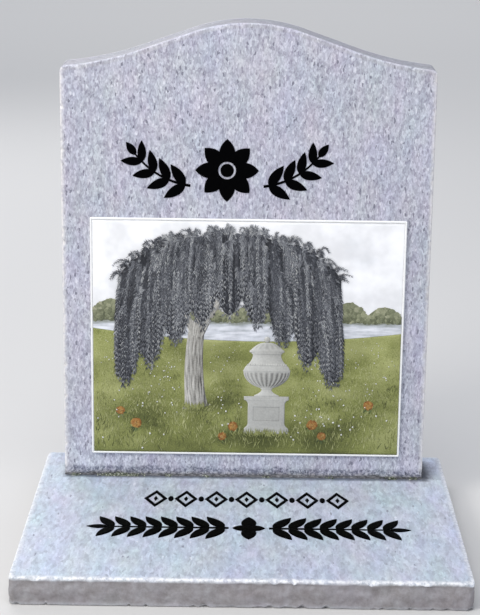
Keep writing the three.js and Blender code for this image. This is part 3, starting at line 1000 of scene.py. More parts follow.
grass = {
    "blades": 9000,
    "length": (2.6, 15),  # at the bank, and at the foot of the picture
    "tufts": ((34, 36, 42, 150), (-84, 82, 26, 110)),  # x, foot, half width, blades
    "tuftLength": (7, 15),
    "out": 1.7,
    "tuftOut": 3.3,
    "tones": meadow["tones"],
    "gloss": (0.5, 0.25, 0.15),
    "mottle": (700, 0.06),
    "relief": 0.12,
}

daisies = {
    "count": 430,
    "size": (2.3, 0.85),  # at the foot of the picture, and at the bank
    "out": 2.1,
    "tones": [(0.0, "#c9c9ba"), (1.0, "#f4f4ee")],
    "gloss": (0.4, 0.3, 0.2),
    "mottle": (300, 0.1),
    "relief": 0.12,
}


def pictured(heap, name, finish, slot, *nodes, smooth=True):
    settle(heap.build(name, pictureStand, finish, smooth=smooth), slot, *nodes)


# Points across the field, closer together at its edges
def fieldRun(count):
    inner = np.linspace(1 - halfField, halfField - 1, count)
    steps = np.array([0, 0.12, 0.4])
    return np.concatenate([steps - halfField, inner, halfField - steps[::-1]])


# The same value everywhere
def level(value):
    return lambda *at: np.full(np.shape(at[0]), float(value))


def quadratic(a, b, c, t):
    return (1 - t) ** 2 * a + 2 * t * (1 - t) * b + t ** 2 * c


def bankHeight(x):
    return quadratic(*scenery["bank"], (x + halfField) / (2 * halfField))


def treeLine(x):
    tops = np.array(farTrees["tops"], float)
    run = 2 * halfField / len(tops)
    k = np.clip(((halfField - x) / run).astype(int), 0, len(tops) - 1)
    before, top, after = tops[np.maximum(k - 1, 0)], tops[k], tops[np.minimum(k + 1, len(tops) - 1)]
    rise = farTrees["rise"]
    t = (halfField - x) / run - k
    return quadratic(np.minimum(top, before) - rise, top + rise, np.minimum(top, after) - rise, t)


# Where nothing stands in front of the grass
def openGround(a, b):
    free = np.ones(np.shape(a), bool)
    for x, low, high, half in scenery["standing"]:
        free &= (np.abs(a - x) > half) | (b < low) | (b > high)
    return free


# A tile between two curves, with softly rounded edges. Relief and tone are functions of x and z.
def addTile(heap, x, rows, lowEdge, highEdge, back, front, relief, tone):
    share = np.linspace(0, 1, rows)[:, None]
    bottom, top = lowEdge(x)[None], highEdge(x)[None]
    z = bottom + (top - bottom) * share
    across = np.broadcast_to(x, z.shape)
    edge = eased(across, (x[0], x[-1]), 0.9) * eased(z, (bottom, top), 1.2)
    out = back + (front - back) * (0.4 + 0.6 * edge) + relief(across, z)
    heap.addGrid(np.stack([across, z, out], -1), back - 0.05, tone(across, z))


def makeSky(p):
    def clouds(a, b):
        return 0.5 + 0.9 * waver(a, b * 2.2, 0.008, 2.0, 4)

    heap = Heap()
    addTile(
        heap, fieldRun(150), 90, level(0.5), level(skyTop), 0, 1.0,
        lambda a, b: p["cloud"] * np.clip(clouds(a, b) - 0.6, -1, 1) - 0.1,
        lambda a, b: unit(0.35 + 0.5 * clouds(a, b)),
    )
    pictured(heap, "skyTile", toned("skyGlaze", p), "sky_glaze", "picture_sky")


# Water, darker under the far shore
def makeWater(p, shore):
    def ripples(a, b):
        return waver(a * 0.16, b, 0.22, 4.0, 3)

    heap = Heap()
    addTile(
        heap, fieldRun(220), 30, bankHeight, level(shore), 1.0, 1.8,
        lambda a, b: p["ripple"] * ripples(a, b),
        lambda a, b: unit(0.72 + 0.5 * ripples(a, b) - 0.9 * unit((b - shore + 9) / 9)),
    )
    pictured(heap, "waterTile", toned("waterGlaze", p), "water_glaze", "picture_water")


# Far trees: a backing plate under many small domes, the nearer ones lower and darker, and reeds
def acrossField(dice, margin, many):
    return dice.uniform(-halfField + margin, halfField - margin, many)


def makeFarTrees(p, shore, dice):
    heap = Heap()
    addTile(
        heap, fieldRun(150), 10, level(shore), lambda a: treeLine(a) - 2.5, 1.0, 1.6,
        level(0), level(0.25),
    )
    many = p["count"]
    a = acrossField(dice, 3, many)
    share = np.sort(dice.uniform(0, 1, many))[::-1]
    size = dice.uniform(*p["size"], many) * (0.75 + 0.5 * share)
    b = shore + share * np.maximum(treeLine(a) - shore - size, 1)
    places = rowsOf(a, b, p["out"] + 0.5 * (1 - share) + dice.uniform(0, 0.1, many))
    tones = unit(0.22 + 0.4 * share + dice.normal(0, 0.17, many))
    sizes = rowsOf(size, size * dice.uniform(0.7, 1.0, many), 0.25 + 0.12 * size)
    heap.scatter(domeShape(9, 3), places, dice.uniform(0, 3, many), sizes, tones)
    many = p["reeds"]
    a = acrossField(dice, 2, many)
    places = rowsOf(a, shore - 1.2 + waver(a, a * 0, 0.05, 9.0, 3) * 1.6, p["reedOut"])
    sizes = rowsOf(dice.uniform(*p["reedWidth"], many), dice.uniform(*p["reedHeight"], many), 0.35)
    heap.scatter(bladeShape(0.5), places, dice.normal(0, 0.25, many), sizes, dice.uniform(0, 0.75, many))
    finish = toned("treeGlaze", p)
    pictured(heap, "farTrees", finish, "far_tree_glaze", "picture_far_trees", smooth=False)


def makeMeadow(p):
    def swell(a, b):
        return waver(a * 0.5, b, 0.02, 6.0, 4)

    heap = Heap()
    addTile(
        heap, fieldRun(150), 60, level(0.5), bankHeight, 1.0, 1.85,
        lambda a, b: p["swell"] * swell(a, b),
        lambda a, b: unit(0.18 + 0.36 * swell(a, b) + 0.3 * b / 200),
    )
    pictured(heap, "meadowGround", toned("meadowGlaze", p), "meadow_glaze", "picture_meadow")


def bladeSizes(width, length):
    return rowsOf(width, length, 0.2 + 0.02 * length)


# Blades grow longer towards the foot of the picture; tufts stand round the feet of urn and tree
def makeGrass(p, dice):
    heap = Heap()
    blade = bladeShape(0.35)
    many = p["blades"]
    near = dice.uniform(0, 1, many) ** 0.62  # 1 at the bank
    a = acrossField(dice, 2.5, many)
    b = 1 + near * (bankHeight(a) - 3)
    far, close = p["length"]
    length = (close + (far - close) * near ** 0.7) * dice.uniform(0.6, 1.15, many)
    patch = waver(a, b * 1.8, 0.022, 12.0, 4)
    tones = unit(0.39 + 0.6 * patch + 0.34 * near + dice.normal(0, 0.19, many))
    places = rowsOf(a, b, p["out"] + 0.75 * (1 - near) + dice.uniform(0, 0.12, many))
    sizes = bladeSizes(0.35 + 0.085 * length, length)
    turns = dice.normal(0, 0.34, many)
    order = np.argsort(-b)
    order = order[openGround(a, b)[order]]
    heap.scatter(blade, places[order], turns[order], sizes[order], tones[order])
    for x, z, half, count in p["tufts"]:
        a = x + np.clip(dice.normal(0, 0.55 * half, count), -half, half)
        b = z - 1 - 7 * dice.uniform(0, 1, count)
        places = rowsOf(a, b, p["tuftOut"] + dice.uniform(0, 0.3, count))
        length = dice.uniform(*p["tuftLength"], count)
        sizes = bladeSizes(0.4 + 0.08 * length, length)
        tones = unit(dice.normal(0.45, 0.18, count))
        heap.scatter(blade, places, dice.normal(0, 0.4, count), sizes, tones)
    pictured(heap, "meadowGrass", toned("grassGlaze", p), "meadow_glaze", smooth=False)


def makeDaisies(p, dice):
    heap = Heap()
    many = p["count"]
    near = dice.uniform(0, 1, many) ** 0.55
    a = acrossField(dice, 4, many)
    b = 6 + near * (bankHeight(a) - 10)
    keep = (waver(a, near * 300, 0.018, 21.0, 3) > -0.12) & openGround(a, b)
    a, b, near = a[keep], b[keep], near[keep]
    close, far = p["size"]
    size = (close + (far - close) * near) * dice.uniform(0.6, 1.1, len(a))
    places = rowsOf(a, b, p["out"] + 0.75 * (1 - near))
    sizes = rowsOf(size, size * 0.8, 0.3 + 0.15 * size)
    heap.scatter(domeShape(7, 2), places, dice.uniform(0, 3, len(a)), sizes, dice.uniform(0.4, 1, len(a)))
    pictured(heap, "daisies", toned("daisyGlaze", p), "meadow_glaze")


def makeLandscape(s):
    dice = np.random.default_rng(s["seed"])
    makeSky(sky)
    makeWater(water, s["shore"])
    makeFarTrees(farTrees, s["shore"], dice)
    makeMeadow(meadow)
    makeGrass(grass, dice)
    makeDaisies(daisies, dice)


makeLandscape(scenery)
print("landscape laid")


# Willow: barked limbs behind, and a crown of hanging twigs in front
willowTrunk = {
    "place": (-84, 82),
    "width": 36,
    "fork": 150,  # height
    "boughs": (  # three points, their heights in forks, and the width
        ((-2, 0.82), (-22, 1.2), (-64, 1.5), 16),
        ((2, 0.82), (26, 1.2), (72, 1.46), 17),
        ((2, 0.9), (4, 1.3), (-4, 1.75), 18),
    ),
    "boughTip": 8,
    "furrows": 0.34,
    "tones": [(0.0, "#4e4c48"), (0.35, "#8d8a83"), (0.7, "#b3b0a8"), (1.0, "#cfccc4")],
    "gloss": (0.5, 0.3, 0.2),
    "mottle": (420, 0.12),
    "relief": 0.25,
}

willowCrown = {
    "x": -30,
    "width": 384,
    "top": 386,
    "spring": 284,
    "lobes": 9,
    "drop": 32,
    "notch": 142,
    "arch": 124,
    "groundOut": 2.75,
    "twigs": 620,
    "hang": 46,  # over the hem
    "shortest": 14,
    "sprigs": 150,
    "sprigFoot": (4, 20),  # under the edge
    "sprigLift": (8, 22),
    "sprigReach": 26,
    "sprigScale": 0.72,
    "leafStep": 5.2,
    "leafSize": (2.3, 10.5),
    "tones": [(0.0, "#222327"), (0.28, "#3f4147"), (0.55, "#696b70"), (0.8, "#97999b"), (1.0, "#bcbcb9")],
    "gloss": (0.48, 0.25, 0.12),
    "mottle": (380, 0.08),
    "relief": 0.1,
    "seed": 31,
}


def bezierPoints(line, t):
    p = np.asarray(line, float)
    t = np.asarray(t)[:, None]
    if len(p) == 3:
        return quadratic(*p, t)
    return (1 - t) ** 3 * p[0] + 3 * t * (1 - t) ** 2 * p[1] + 3 * t ** 2 * (1 - t) * p[2] + t ** 3 * p[3]


# Points on both sides of a curve, its half width times u from -1 to 1
def acrossLine(line, t, half, u):
    spine = bezierPoints(line, t)
    along = np.gradient(spine, axis=0)
    along /= np.linalg.norm(along, axis=1)[:, None]
    side = np.column_stack([along[:, 1], -along[:, 0]])
    return spine[:, None] + side[:, None] * (half[:, None] * u)[..., None]


# A half-round limb along a curve, with furrowed bark
def addLimb(heap, line, widths, rise, furrows, seed, rows=70, cols=26):
    t = np.linspace(0, 1, rows)
    u = np.linspace(-1, 1, cols)
    half = widths(t) / 2
    run = np.broadcast_to((t * 60)[:, None], (rows, cols))
    ridges = waver(u * half[:, None] * 5.5, run, 0.085, seed, 4)
    back = scenery["standOut"]
    dome = rise * (half / half.max())[:, None] ** 0.5 * np.sqrt(1 - u ** 2)
    out = back + dome + furrows * ridges * (1 - u ** 2)
    # Painted shade: the bark is lighter on its ridges and darker in its furrows, and darker to the right as
    # if lit from the left
    tones = unit(0.55 + 0.6 * ridges - 0.22 * u)
    heap.addGrid(np.dstack([acrossLine(line, t, half, u), out]), back - 0.2, tones, 0.3)


def makeTrunk(w):
    x, z = w["place"]
    width, fork, tip = w["width"], w["fork"], w["boughTip"]

    def flare(t):
        return width * (1 - 0.3 * t) * (1 + 0.28 * np.exp(-t / 0.05))

    heap = Heap()
    for k, (*points, start) in enumerate(w["boughs"]):
        line = [(x + a, z + b * fork) for a, b in points]
        addLimb(heap, line, lambda t: start + (tip - start) * t, 0.8, 0.6 * w["furrows"], 5.0 + k)
    trunk = [(x, z - 1), (x - 10, z + 0.5 * fork), (x + 2, z + fork)]
    addLimb(heap, trunk, flare, 1.2, w["furrows"], 2.0, 120, 46)
    pictured(heap, "willowTrunk", toned("barkGlaze", w), "bark_glaze", "willow_trunk")


def crownHem(x, w):
    half = w["width"] / 2
    run = w["width"] / w["lobes"]

    def notch(a):
        return w["notch"] + w["arch"] * unit(1 - (a / half) ** 2) ** 1.5

    start = -half + run * np.clip(np.floor((x + half) / run), 0, w["lobes"] - 1)
    a, b = notch(start), notch(start + run)
    return quadratic(a, np.minimum(a, b) - 2 * w["drop"], b, (x - start) / run)


def crownEdge(x, w):
    return w["spring"] + (w["top"] - w["spring"]) * np.sqrt(unit(1 - (2 * x / w["width"]) ** 2))


# A thin dark ground, painted shade inside the crown, keeps the sky from showing through
def addCrownShadeGround(heap, w):
    reach = w["width"] / 2 - 7
    x = np.linspace(-reach, reach, 150)
    hem = crownHem(x, w) + 12
    z = hem + (crownEdge(x, w) - 6 - hem) * np.linspace(0, 1, 40)[:, None]
    across = np.broadcast_to(x, z.shape)
    out = w["groundOut"] + 0.25 * waver(across, z, 0.06, 3.0, 4)
    heap.addGrid(np.dstack([across + w["x"], z, out]), 2.3, 0.08)


# Twigs leave the dome and hang to the hem, some of them shorter. Each line has a curve, how far
# forward it hangs, and the scale of its leaves.
def hangingTwigs(w, dice):
    half = w["width"] / 2
    count = w["twigs"]
    across = dice.uniform(-1, 1, count)
    startX = np.sign(across) * np.abs(across) ** 0.85 * half * 0.97
    high = crownEdge(startX, w)
    startZ = high - 2 - (high - crownHem(startX, w)) * 0.62 * dice.uniform(0, 1, count) ** 1.6
    endX = np.clip(startX * dice.uniform(1.0, 1.08, count), -half + 2, half - 2)
    endZ = crownHem(endX, w) + dice.uniform(0, 1, count) ** 2.2 * w["hang"]
    endZ = np.minimum(endZ, startZ - w["shortest"])
    lines = []
    for k in np.argsort(-startZ):
        swing = 0.35 * (startX[k] / half) * min(30.0, startZ[k] - endZ[k])
        bend = (endX[k], startZ[k] + 0.1 * abs(swing))
        lines.append(([(startX[k] - swing, startZ[k]), bend, (endX[k], endZ[k])], dice.uniform(), 1.0))
    return lines


# Sprigs rise over the top edge and arch outwards
def risingSprigs(w, dice):
    half = w["width"] / 2
    lines = []
    for _ in range(w["sprigs"]):
        foot = dice.uniform(-0.94, 0.94) * half
        base = crownEdge(foot, w) - dice.uniform(*w["sprigFoot"])
        lift = dice.uniform(*w["sprigLift"]) * (1 - 0.45 * (foot / half) ** 2)
        lean = 0.5 * foot / half + dice.normal(0, 0.35)
        peak = min(base + 1.5 * lift, 2 * (skyTop - 3) - base)
        tip = (foot + w["sprigReach"] * lean, base + dice.uniform(-0.4, 0.7) * lift)
        line = [(foot, base), (foot + 12 * lean, peak), tip]
        lines.append((line, 0.9 * dice.uniform(), w["sprigScale"]))
    return lines


# Two leaves at each step of a line, one to either side
def addLeaves(heap, lines, w, dice):
    width, length = w["leafSize"]
    places, turns, sizes, tones = [], [], [], []
    for line, forward, scale in lines:
        start, bend, end = np.array(line)
        run = np.linalg.norm(bend - start) + np.linalg.norm(end - bend)
        count = max(int(run / (w["leafStep"] * scale)), 3)
        t = (np.arange(count) + dice.uniform(0, 1)) / count
        spine = bezierPoints(line, unit(t))
        spine[:, 0] += 1.2 * scale * np.sin(t * 7 + 9 * forward)
        ahead = np.gradient(spine, axis=0)
        lean = np.arctan2(-ahead[:, 0], ahead[:, 1])
        out = w["groundOut"] + 0.75 * forward + 0.05 * dice.uniform(0, 1, count)
        # The higher twigs are painted lighter, a painted highlight towards the top of the crown
        shade = 0.08 + 0.62 * dice.uniform() ** 1.6 + 0.2 * (start[1] - w["notch"]) / 250
        for turn in (-1, 1):
            places.append(rowsOf(spine[:, 0] + w["x"], spine[:, 1], out))
            turns.append(lean + turn * dice.uniform(0.16, 0.5, count))
            size = scale * dice.uniform(0.7, 1.15, count) * (1 - 0.35 * t)
            sizes.append(rowsOf(width * size, length * size, 0.3 + 0.2 * size))
            tones.append(unit(shade + dice.normal(0, 0.11, count) + 0.14 * (t - 0.5)))
    joined = (np.concatenate(rows) for rows in (places, turns, sizes, tones))
    heap.scatter(bladeShape(0.38), *joined)


def makeCrown(w):
    dice = np.random.default_rng(w["seed"])
    heap = Heap()
    addCrownShadeGround(heap, w)
    lines = hangingTwigs(w, dice)
    lines += risingSprigs(w, dice)
    addLeaves(heap, lines, w, dice)
    finish = toned("willowGlaze", w)
    pictured(heap, "willowCrown", finish, "willow_glaze", "willow_crown", smooth=False)


makeTrunk(willowTrunk)
makeCrown(willowCrown)
print("willow grown")


# Urn on its pedestal, half-turned reliefs
urn = {
    "place": (34, 36),
    "pedestal": (76, 66),
    "moulding": (  # shares of the half width and of the height
        (1, 0), (1, 0.12), (0.97, 0.14), (0.86, 0.2), (0.82, 0.26), (0.82, 0.8),
        (0.84, 0.83), (0.9, 0.88), (0.985, 0.9), (1, 0.92), (1, 1),
    ),
    "panel": (0.6, 0.34, 0.72),  # half width, foot and head of the sunk panel, in the same shares
    "vase": (80, 77),
    "stem": 0.16,  # height of the stem and of the widest place, as shares of the vase's
    "swell": 0.66,
    "girdles": ((0.585, 0.975), (0.985, 0.63)),  # height and half width, as shares
    "girdleShape": ((-1.4, 0.55), (-0.9, 0.9), (0, 1.05), (0.9, 0.9), (1.4, 0.55)),  # height, reach
    "beadRing": (0.86, 0.72),  # half width and height, as shares
    "lid": 28,
    "brim": 0.72,
    "knob": (0.8, 0.18),  # height and radius, as shares of the lid's height
    "rise": 1.25,
    "gadroons": (13, 0.42),  # count, depth
    "lidGadroons": (7, 0.2),
    "beads": 17,
    "beadSize": 1.7,
    "tones": [(0.0, "#6b6a66"), (0.3, "#a3a29c"), (0.65, "#c2c1ba"), (1.0, "#dddcd5")],
    "gloss": (0.4, 0.35, 0.25),
    "mottle": (300, 0.1),
    "relief": 0.15,
}


def refined(points, step=0.7):
    points = np.asarray(points, float)
    run = lengthAlong(points)
    return pointsAt(points, run, np.unique(np.concatenate([run, np.arange(0, run[-1], step)])))


# A relief turned about the vertical. The outline holds half widths and heights over the foot;
# flutes are their count and depth, and the heights that they run between.
def addTurned(heap, outline, x, foot, rise, cols, flutes=None):
    back = scenery["standOut"]
    u = np.linspace(-1, 1, cols)
    half, height = outline[:, :1], outline[:, 1:]
    out = back + 0.35 + rise * (half / half.max()) ** 0.6 * np.sqrt(unit(1 - u ** 2))
    carved = np.zeros_like(out)
    if flutes:
        count, depth, low, high = flutes
        gate = unit(np.minimum(height - low, high - height) / 3)
        carved = -depth * gate * (0.5 + 0.5 * np.cos(count * 2 * np.arcsin(u)))
    steps = np.gradient(half[:, 0], height[:, 0] + np.arange(len(half)) * 1e-6)
    # Painted shade: lighter on the left and darker on the right as if lit from the left, darker in the
    # flutes and where the outline steps out over what is below
    tones = 0.62 - 0.22 * u + 1.1 * carved - 0.1 * np.clip(steps, -1, 1)[:, None]
    place = np.dstack([x + half * u, np.broadcast_to(foot + height, out.shape), out + carved])
    heap.addGrid(place, back, unit(tones), 0.3)


# Pedestal: a moulded foot and cap, with a sunk panel on its die
def makePedestal(p, finish):
    x, foot = p["place"]
    back = scenery["standOut"]
    w, h = p["pedestal"][0] / 2, p["pedestal"][1]
    u = np.linspace(-1, 1, 61)
    outline = refined(np.array(p["moulding"]) * (w, h))
    half, height = outline[:, :1], outline[:, 1:]
    edge = unit((1 - np.abs(u)) * half / 1.4)
    wide, low, high = p["panel"]
    inX = unit(wide * w - np.abs(u) * half)
    inZ = unit(np.minimum(height - low * h, high * h - height))
    panel = inX * inZ
    lip = unit(1 - np.abs(panel - 0.25) * 4)
    out = back + 0.3 + 0.9 * np.sqrt(1 - (1 - edge) ** 2) * (half / w) ** 2.5 - 0.38 * panel + 0.12 * lip
    # Painted shade: darker to the right as if lit from the left, darker on the sunk panel's sloping sides
    # and a little inside it
    tones = unit(0.6 - 0.16 * u - 0.28 * (panel > 0) * (panel < 1) - 0.05 * panel)
    heap = Heap()
    place = np.dstack([x + half * u, np.broadcast_to(foot + height, out.shape), out])
    heap.addGrid(place, back, tones, 0.3)
    pictured(heap, "urnPedestal", finish, "urn_glaze", "urn_pedestal")


def makeVase(p, finish):
    x, foot = p["place"]
    foot += p["pedestal"][1]
    v, tall = p["vase"][0] / 2, p["vase"][1]
    stem, swell = p["stem"] * tall, p["swell"] * tall
    t = np.linspace(0, 1, 30)
    belly = [(0.2 * v, stem + 2), (0.75 * v, 1.5 * stem), (1.12 * v, 0.72 * swell), (0.92 * v, swell)]
    outline = refined(np.vstack([
        [(0.52 * v, 0), (0.52 * v, 1.6)],
        bezierPoints([(0.5 * v, 2.0), (0.22 * v, 0.5 * stem), (0.2 * v, stem)], t),
        [(0.26 * v, stem + 0.4), (0.26 * v, stem + 1.6)],
        bezierPoints(belly, t),
        bezierPoints([(0.92 * v, swell + 0.3), (0.5 * v, 0.86 * tall), (0.62 * v, tall)], t),
    ]))
    heap = Heap()
    addTurned(heap, outline, x, foot, p["rise"], 91, (*p["gadroons"], 1.25 * stem, 0.56 * tall))
    for share, reach in p["girdles"]:
        band = [((reach + 0.018 * k) * v, share * tall + d) for d, k in p["girdleShape"]]
        addTurned(heap, refined(band, 0.3), x, foot, p["rise"] + 0.2, 61)
    many, size = p["beads"], p["beadSize"]
    ring, high = p["beadRing"]
    turn = np.arcsin(np.linspace(-0.94, 0.94, many))
    places = rowsOf(
        x + ring * v * np.sin(turn), foot + high * tall, scenery["standOut"] + 0.5 + np.cos(turn)
    )
    sizes = rowsOf(size * np.cos(turn) ** 0.5, size, 0.8)
    heap.scatter(domeShape(10, 3), places, np.zeros(many), sizes, np.full(many, 0.75))
    pictured(heap, "urnVase", finish, "urn_glaze", "urn_vase")


def makeLid(p, finish):
    x, foot = p["place"]
    foot += p["pedestal"][1] + p["vase"][1]
    v, lid = p["vase"][0] / 2, p["lid"]
    brim = p["brim"] * v
    high, radius = p["knob"]
    t = np.linspace(0, 1, 30)
    outline = refined(np.vstack([
        [(brim, 0), (brim + 0.4, 0.06 * lid), (brim, 0.14 * lid)],
        bezierPoints([(0.93 * brim, 0.16 * lid), (0.4 * v, 0.6 * lid), (0.1 * v, 0.62 * lid)], t),
    ]))
    knob = arcPoints((1e-3, high * lid), radius * lid, -62, 90, 24)
    heap = Heap()
    addTurned(heap, outline, x, foot, p["rise"], 61, (*p["lidGadroons"], 0.18 * lid, 0.6 * lid))
    addTurned(heap, knob, x, foot, 1.0, 25)
    pictured(heap, "urnLid", finish, "urn_glaze", "urn_lid")


urnFinish = toned("urnGlaze", urn)
makePedestal(urn, urnFinish)
makeVase(urn, urnFinish)
makeLid(urn, urnFinish)
print("urn turned")


# Marigolds: three whorls of petals round a tufted middle, with a few leaves
marigold = {
    "heads": (  # x, height, radius
        (-22, 48, 9), (-40, 30, 8), (112, 52, 10), (128, 32, 8),
        (-186, 52, 10), (-212, 74, 8), (206, 88, 9),
    ),
    "whorls": (  # petals, reach, width, lift
        (15, 1.0, 0.62, 0.2), (12, 0.74, 0.56, 0.55), (8, 0.46, 0.5, 0.85),
    ),
    "out": 2.2,
    "tuft": 14,
    "tuftSize": (0.1, 0.07),  # spread, and each one's radius, as shares
    "tuftOut": 3.15,
    "tones": [(0.0, "#5f3614"), (0.4, "#98632e"), (0.75, "#b58a47"), (1.0, "#cfab6d")],
    "gloss": (0.4, 0.3, 0.25),
    "mottle": (600, 0.1),
    "relief": 0.12,
    "seed": 17,
}

marigoldLeaf = {
    "count": 9,  # to a head
    "fan": (0.55, 1.45),  # in half turns
    "width": (3, 4.4),
    "length": (1.1, 1.7),  # in radii of the head
    "out": (2.0, 2.3),
    "tones": [(0.0, "#3f4a2a"), (1.0, "#7b8850")],
    "gloss": (0.45, 0.3, 0.2),
    "mottle": (500, 0.1),
    "relief": 0.12,
}


def petalShape():
    verts = [(0, 0, 0), (0.3, 0.35, 0), (0.5, 0.75, 0), (0.28, 0.97, 0), (0, 0.9, 0)]
    verts += [(-0.28, 0.97, 0), (-0.5, 0.75, 0), (-0.3, 0.35, 0), (0, 0.5, 1), (0, 0.78, 0.9)]
    faces = [(0, 1, 8), (1, 2, 9, 8), (2, 3, 9), (3, 4, 9), (4, 5, 9), (5, 6, 9), (6, 7, 8, 9), (7, 0, 8)]
    return np.array(verts, float), faces + [(0, 7, 6, 5, 4, 3, 2, 1)]


def addMarigold(heap, x, z, radius, p, dice):
    start = 0.12 * radius
    for many, reach, wide, lift in p["whorls"]:
        turns = math.tau * (np.arange(many) + dice.uniform()) / many + dice.normal(0, 0.06, many)
        places = rowsOf(x - start * np.sin(turns), z + start * np.cos(turns), p["out"] + lift)
        length = (reach * radius - start) * dice.uniform(0.9, 1.03, many)
        sizes = rowsOf(length * wide, length, dice.uniform(0.3, 0.45, many))
        tones = unit(0.35 + 0.35 * lift + dice.normal(0, 0.13, many))
        heap.scatter(petalShape(), places, turns, sizes, tones)
    many = p["tuft"]
    spread, size = p["tuftSize"]
    places = atDepth(dice.normal(0, spread * radius, (many, 2)) + (x, z), p["tuftOut"])
    sizes = np.full((many, 3), size * radius)
    heap.scatter(domeShape(6, 2), places, np.zeros(many), sizes, dice.uniform(0.7, 1, many))


def makeMarigolds(p, leaf):
    dice = np.random.default_rng(p["seed"])
    finish = toned("marigoldGlaze", p)
    leaves = Heap()
    many = leaf["count"]
    for k, (x, z, radius) in enumerate(p["heads"], 1):
        heap = Heap()
        addMarigold(heap, x, z, radius, p, dice)
        pictured(heap, f"marigoldHead{k}", finish, "marigold_glaze", f"marigold_{k}", smooth=False)
        turns = dice.uniform(*(math.pi * turn for turn in leaf["fan"]), many)
        places = rowsOf(x, z - 0.3 * radius, dice.uniform(*leaf["out"], many))
        width = dice.uniform(*leaf["width"], many)
        length = radius * dice.uniform(*leaf["length"], many)
        sizes = rowsOf(width, length, 0.4)
        leaves.scatter(bladeShape(0.45), places, turns, sizes, dice.uniform(0, 1, many))
    pictured(leaves, "marigoldLeaves", toned("marigoldLeafGlaze", leaf), "meadow_glaze", smooth=False)


makeMarigolds(marigold, marigoldLeaf)
print("marigolds set")


# Black raised ornament: domed solids, let 0.2 mm into the stone
blackWork = {
    "rise": 1.5,
    "sunk": 0.2,
    "bandSection": (  # across a band, from its outer edge to its inner one, and height as a share
        (0, -0.13), (0, 0.6), (0.12, 0.9), (0.3, 1.0), (0.7, 1.0), (0.88, 0.9), (1, 0.6), (1, -0.13),
    ),
    "paint": [(0.0, "#010102"), (0.6, "#020203"), (1.0, "#050506")],
    "worn": "#26272b",
    "roughness": (0.46, 0.68),
    "specular": 0.02,
}

garland = {
    "place": (-33, 529.5),  # from the middle and foot of the tablet
    "rosette": 52,
    "petals": 8,
    "petalWidth": 26,
    "petalFullness": 0.46,
    "petalStart": 12,
    "ring": 21,
    "boss": 11,
    "bossDome": (  # steps of a dome: inset and height as shares
        (0, 0.5), (0.03, 0.72), (0.1, 0.84), (0.16, 0.8), (0.2, 0.72),
        (0.26, 0.8), (0.4, 0.92), (0.6, 0.98), (0.85, 1.0),
    ),
    "gap": 3.5,
    "spray": (60, 92, -26, 28),  # start, reach, foot, tip
    "pairs": 4,
    "spread": 0.76,
    "leaf": (42, 17),
    "taper": 0.2,
    "stem": 4.5,
}

lozengeRow = {
    "place": (6, 52),
    "count": 7,
    "pitch": 50,
    "size": (38, 74),
    "bar": 6.5,
    "heartDome": ((0, 0.55), (0.04, 0.85), (0.12, 1.0)),
    "bead": (9, 22),
    "beadDome": ((0, 0.5), (0.05, 0.72), (0.15, 0.87), (0.35, 0.97), (0.7, 1.0)),
}

runner = {
    "place": (10, -71.5),
    "start": 32,
    "pairs": 8,
    "pitch": 25,
    "spread": 1.02,
    "leaf": (54, 20),
    "taper": 0.12,
    "stem": 7,
    "uprightLeaf": (46, 24),
    "crossLeaf": (25.76, 21.6),
    "heart": (14, 20),
    "heartDome": ((0, 0.7), (0.08, 0.88), (0.25, 0.97), (0.6, 1.0)),
}


def blackPaint(p):
    bench = Bench("blackPaint")
    colour = bench.ramp(bench.noise(140, 4.0, 0.6), p["paint"])
    dust = bench.cloud((420, 4.0, 0.72), (0.62, 0.8), (0.0, 0.3))
    colour = bench.blend(bench.times(dust, bench.attribute("tone")), colour, p["worn"])
    rough = bench.cloud((260, 3.0, 0.6), (0.3, 0.7), p["roughness"])
    bench.bump(bench.noise(900, 3.0, 0.6), 0.18, 0.2 * mm)
    return bench.finish(colour, rough, p["specular"])


paint = blackPaint(blackWork)


def raised(heap, name, stand, *nodes, lying=False):
    settle(heap.build(name, stand, paint, lying), "black_paint", *nodes)


# A pointed leaf that grows from (x, y) along an angle, domed to a midrib. Where it comes nearer
# to the origin than the hole's radius, it is pushed out to that.
def addLeaf(heap, p, length, width, x, y, angle, fullness=0.42, hole=0.0, rows=17, cols=9):
    t = np.linspace(0, 1, rows)
    sides = [(0, 0), (0.18 * length, 0.72 * width), ((fullness + 0.22) * length, 0.62 * width), (length, 0)]
    edge = bezierPoints(sides, 0.5 - 0.5 * np.cos(math.pi * t))
    u = np.linspace(-1, 1, cols)
    u = np.sign(u) * np.abs(u) ** 0.8
    along, half = edge[:, :1], edge[:, 1:]
    across = -half * u
    thin = unit(half / (0.25 * width)) ** 0.5
    dome = (1 - np.abs(u) ** 2.6) * thin
    rib = 0.28 * np.exp(-(u / 0.14) ** 2) * thin
    out = 0.45 * p["rise"] + (0.55 * p["rise"] - 0.15) * dome - rib + 0.15
    c, s = math.cos(angle), math.sin(angle)
    a = x + along * c - across * s
    b = y + along * s + across * c
    if hole:
        grow = np.maximum(hole / np.maximum(np.hypot(a, b), 1e-6), 1)
        a, b = a * grow, b * grow
    heap.addGrid(np.dstack([a, b, np.minimum(out, p["rise"])])[:, ::-1], -p["sunk"], 0.4)


def addStem(heap, p, line, startWidth, endWidth):
    t = np.linspace(0, 1, 30)
    u = np.linspace(-1, 1, 7)
    half = (startWidth + (endWidth - startWidth) * t) / 2
    out = np.broadcast_to((0.4 + 0.45 * (1 - u ** 2)) * p["rise"], (len(t), len(u)))
    heap.addGrid(np.dstack([acrossLine(line, t, half, u), out]), -p["sunk"], 0.5)


def raisedOutline(p, outline, dome):
    rings = [atDepth(outline, -p["sunk"])]
    centre = outline.mean(0)
    for inset, share in dome:
        rings.append(atDepth(centre + (outline - centre) * (1 - inset), share * p["rise"]))
    return loft(rings)


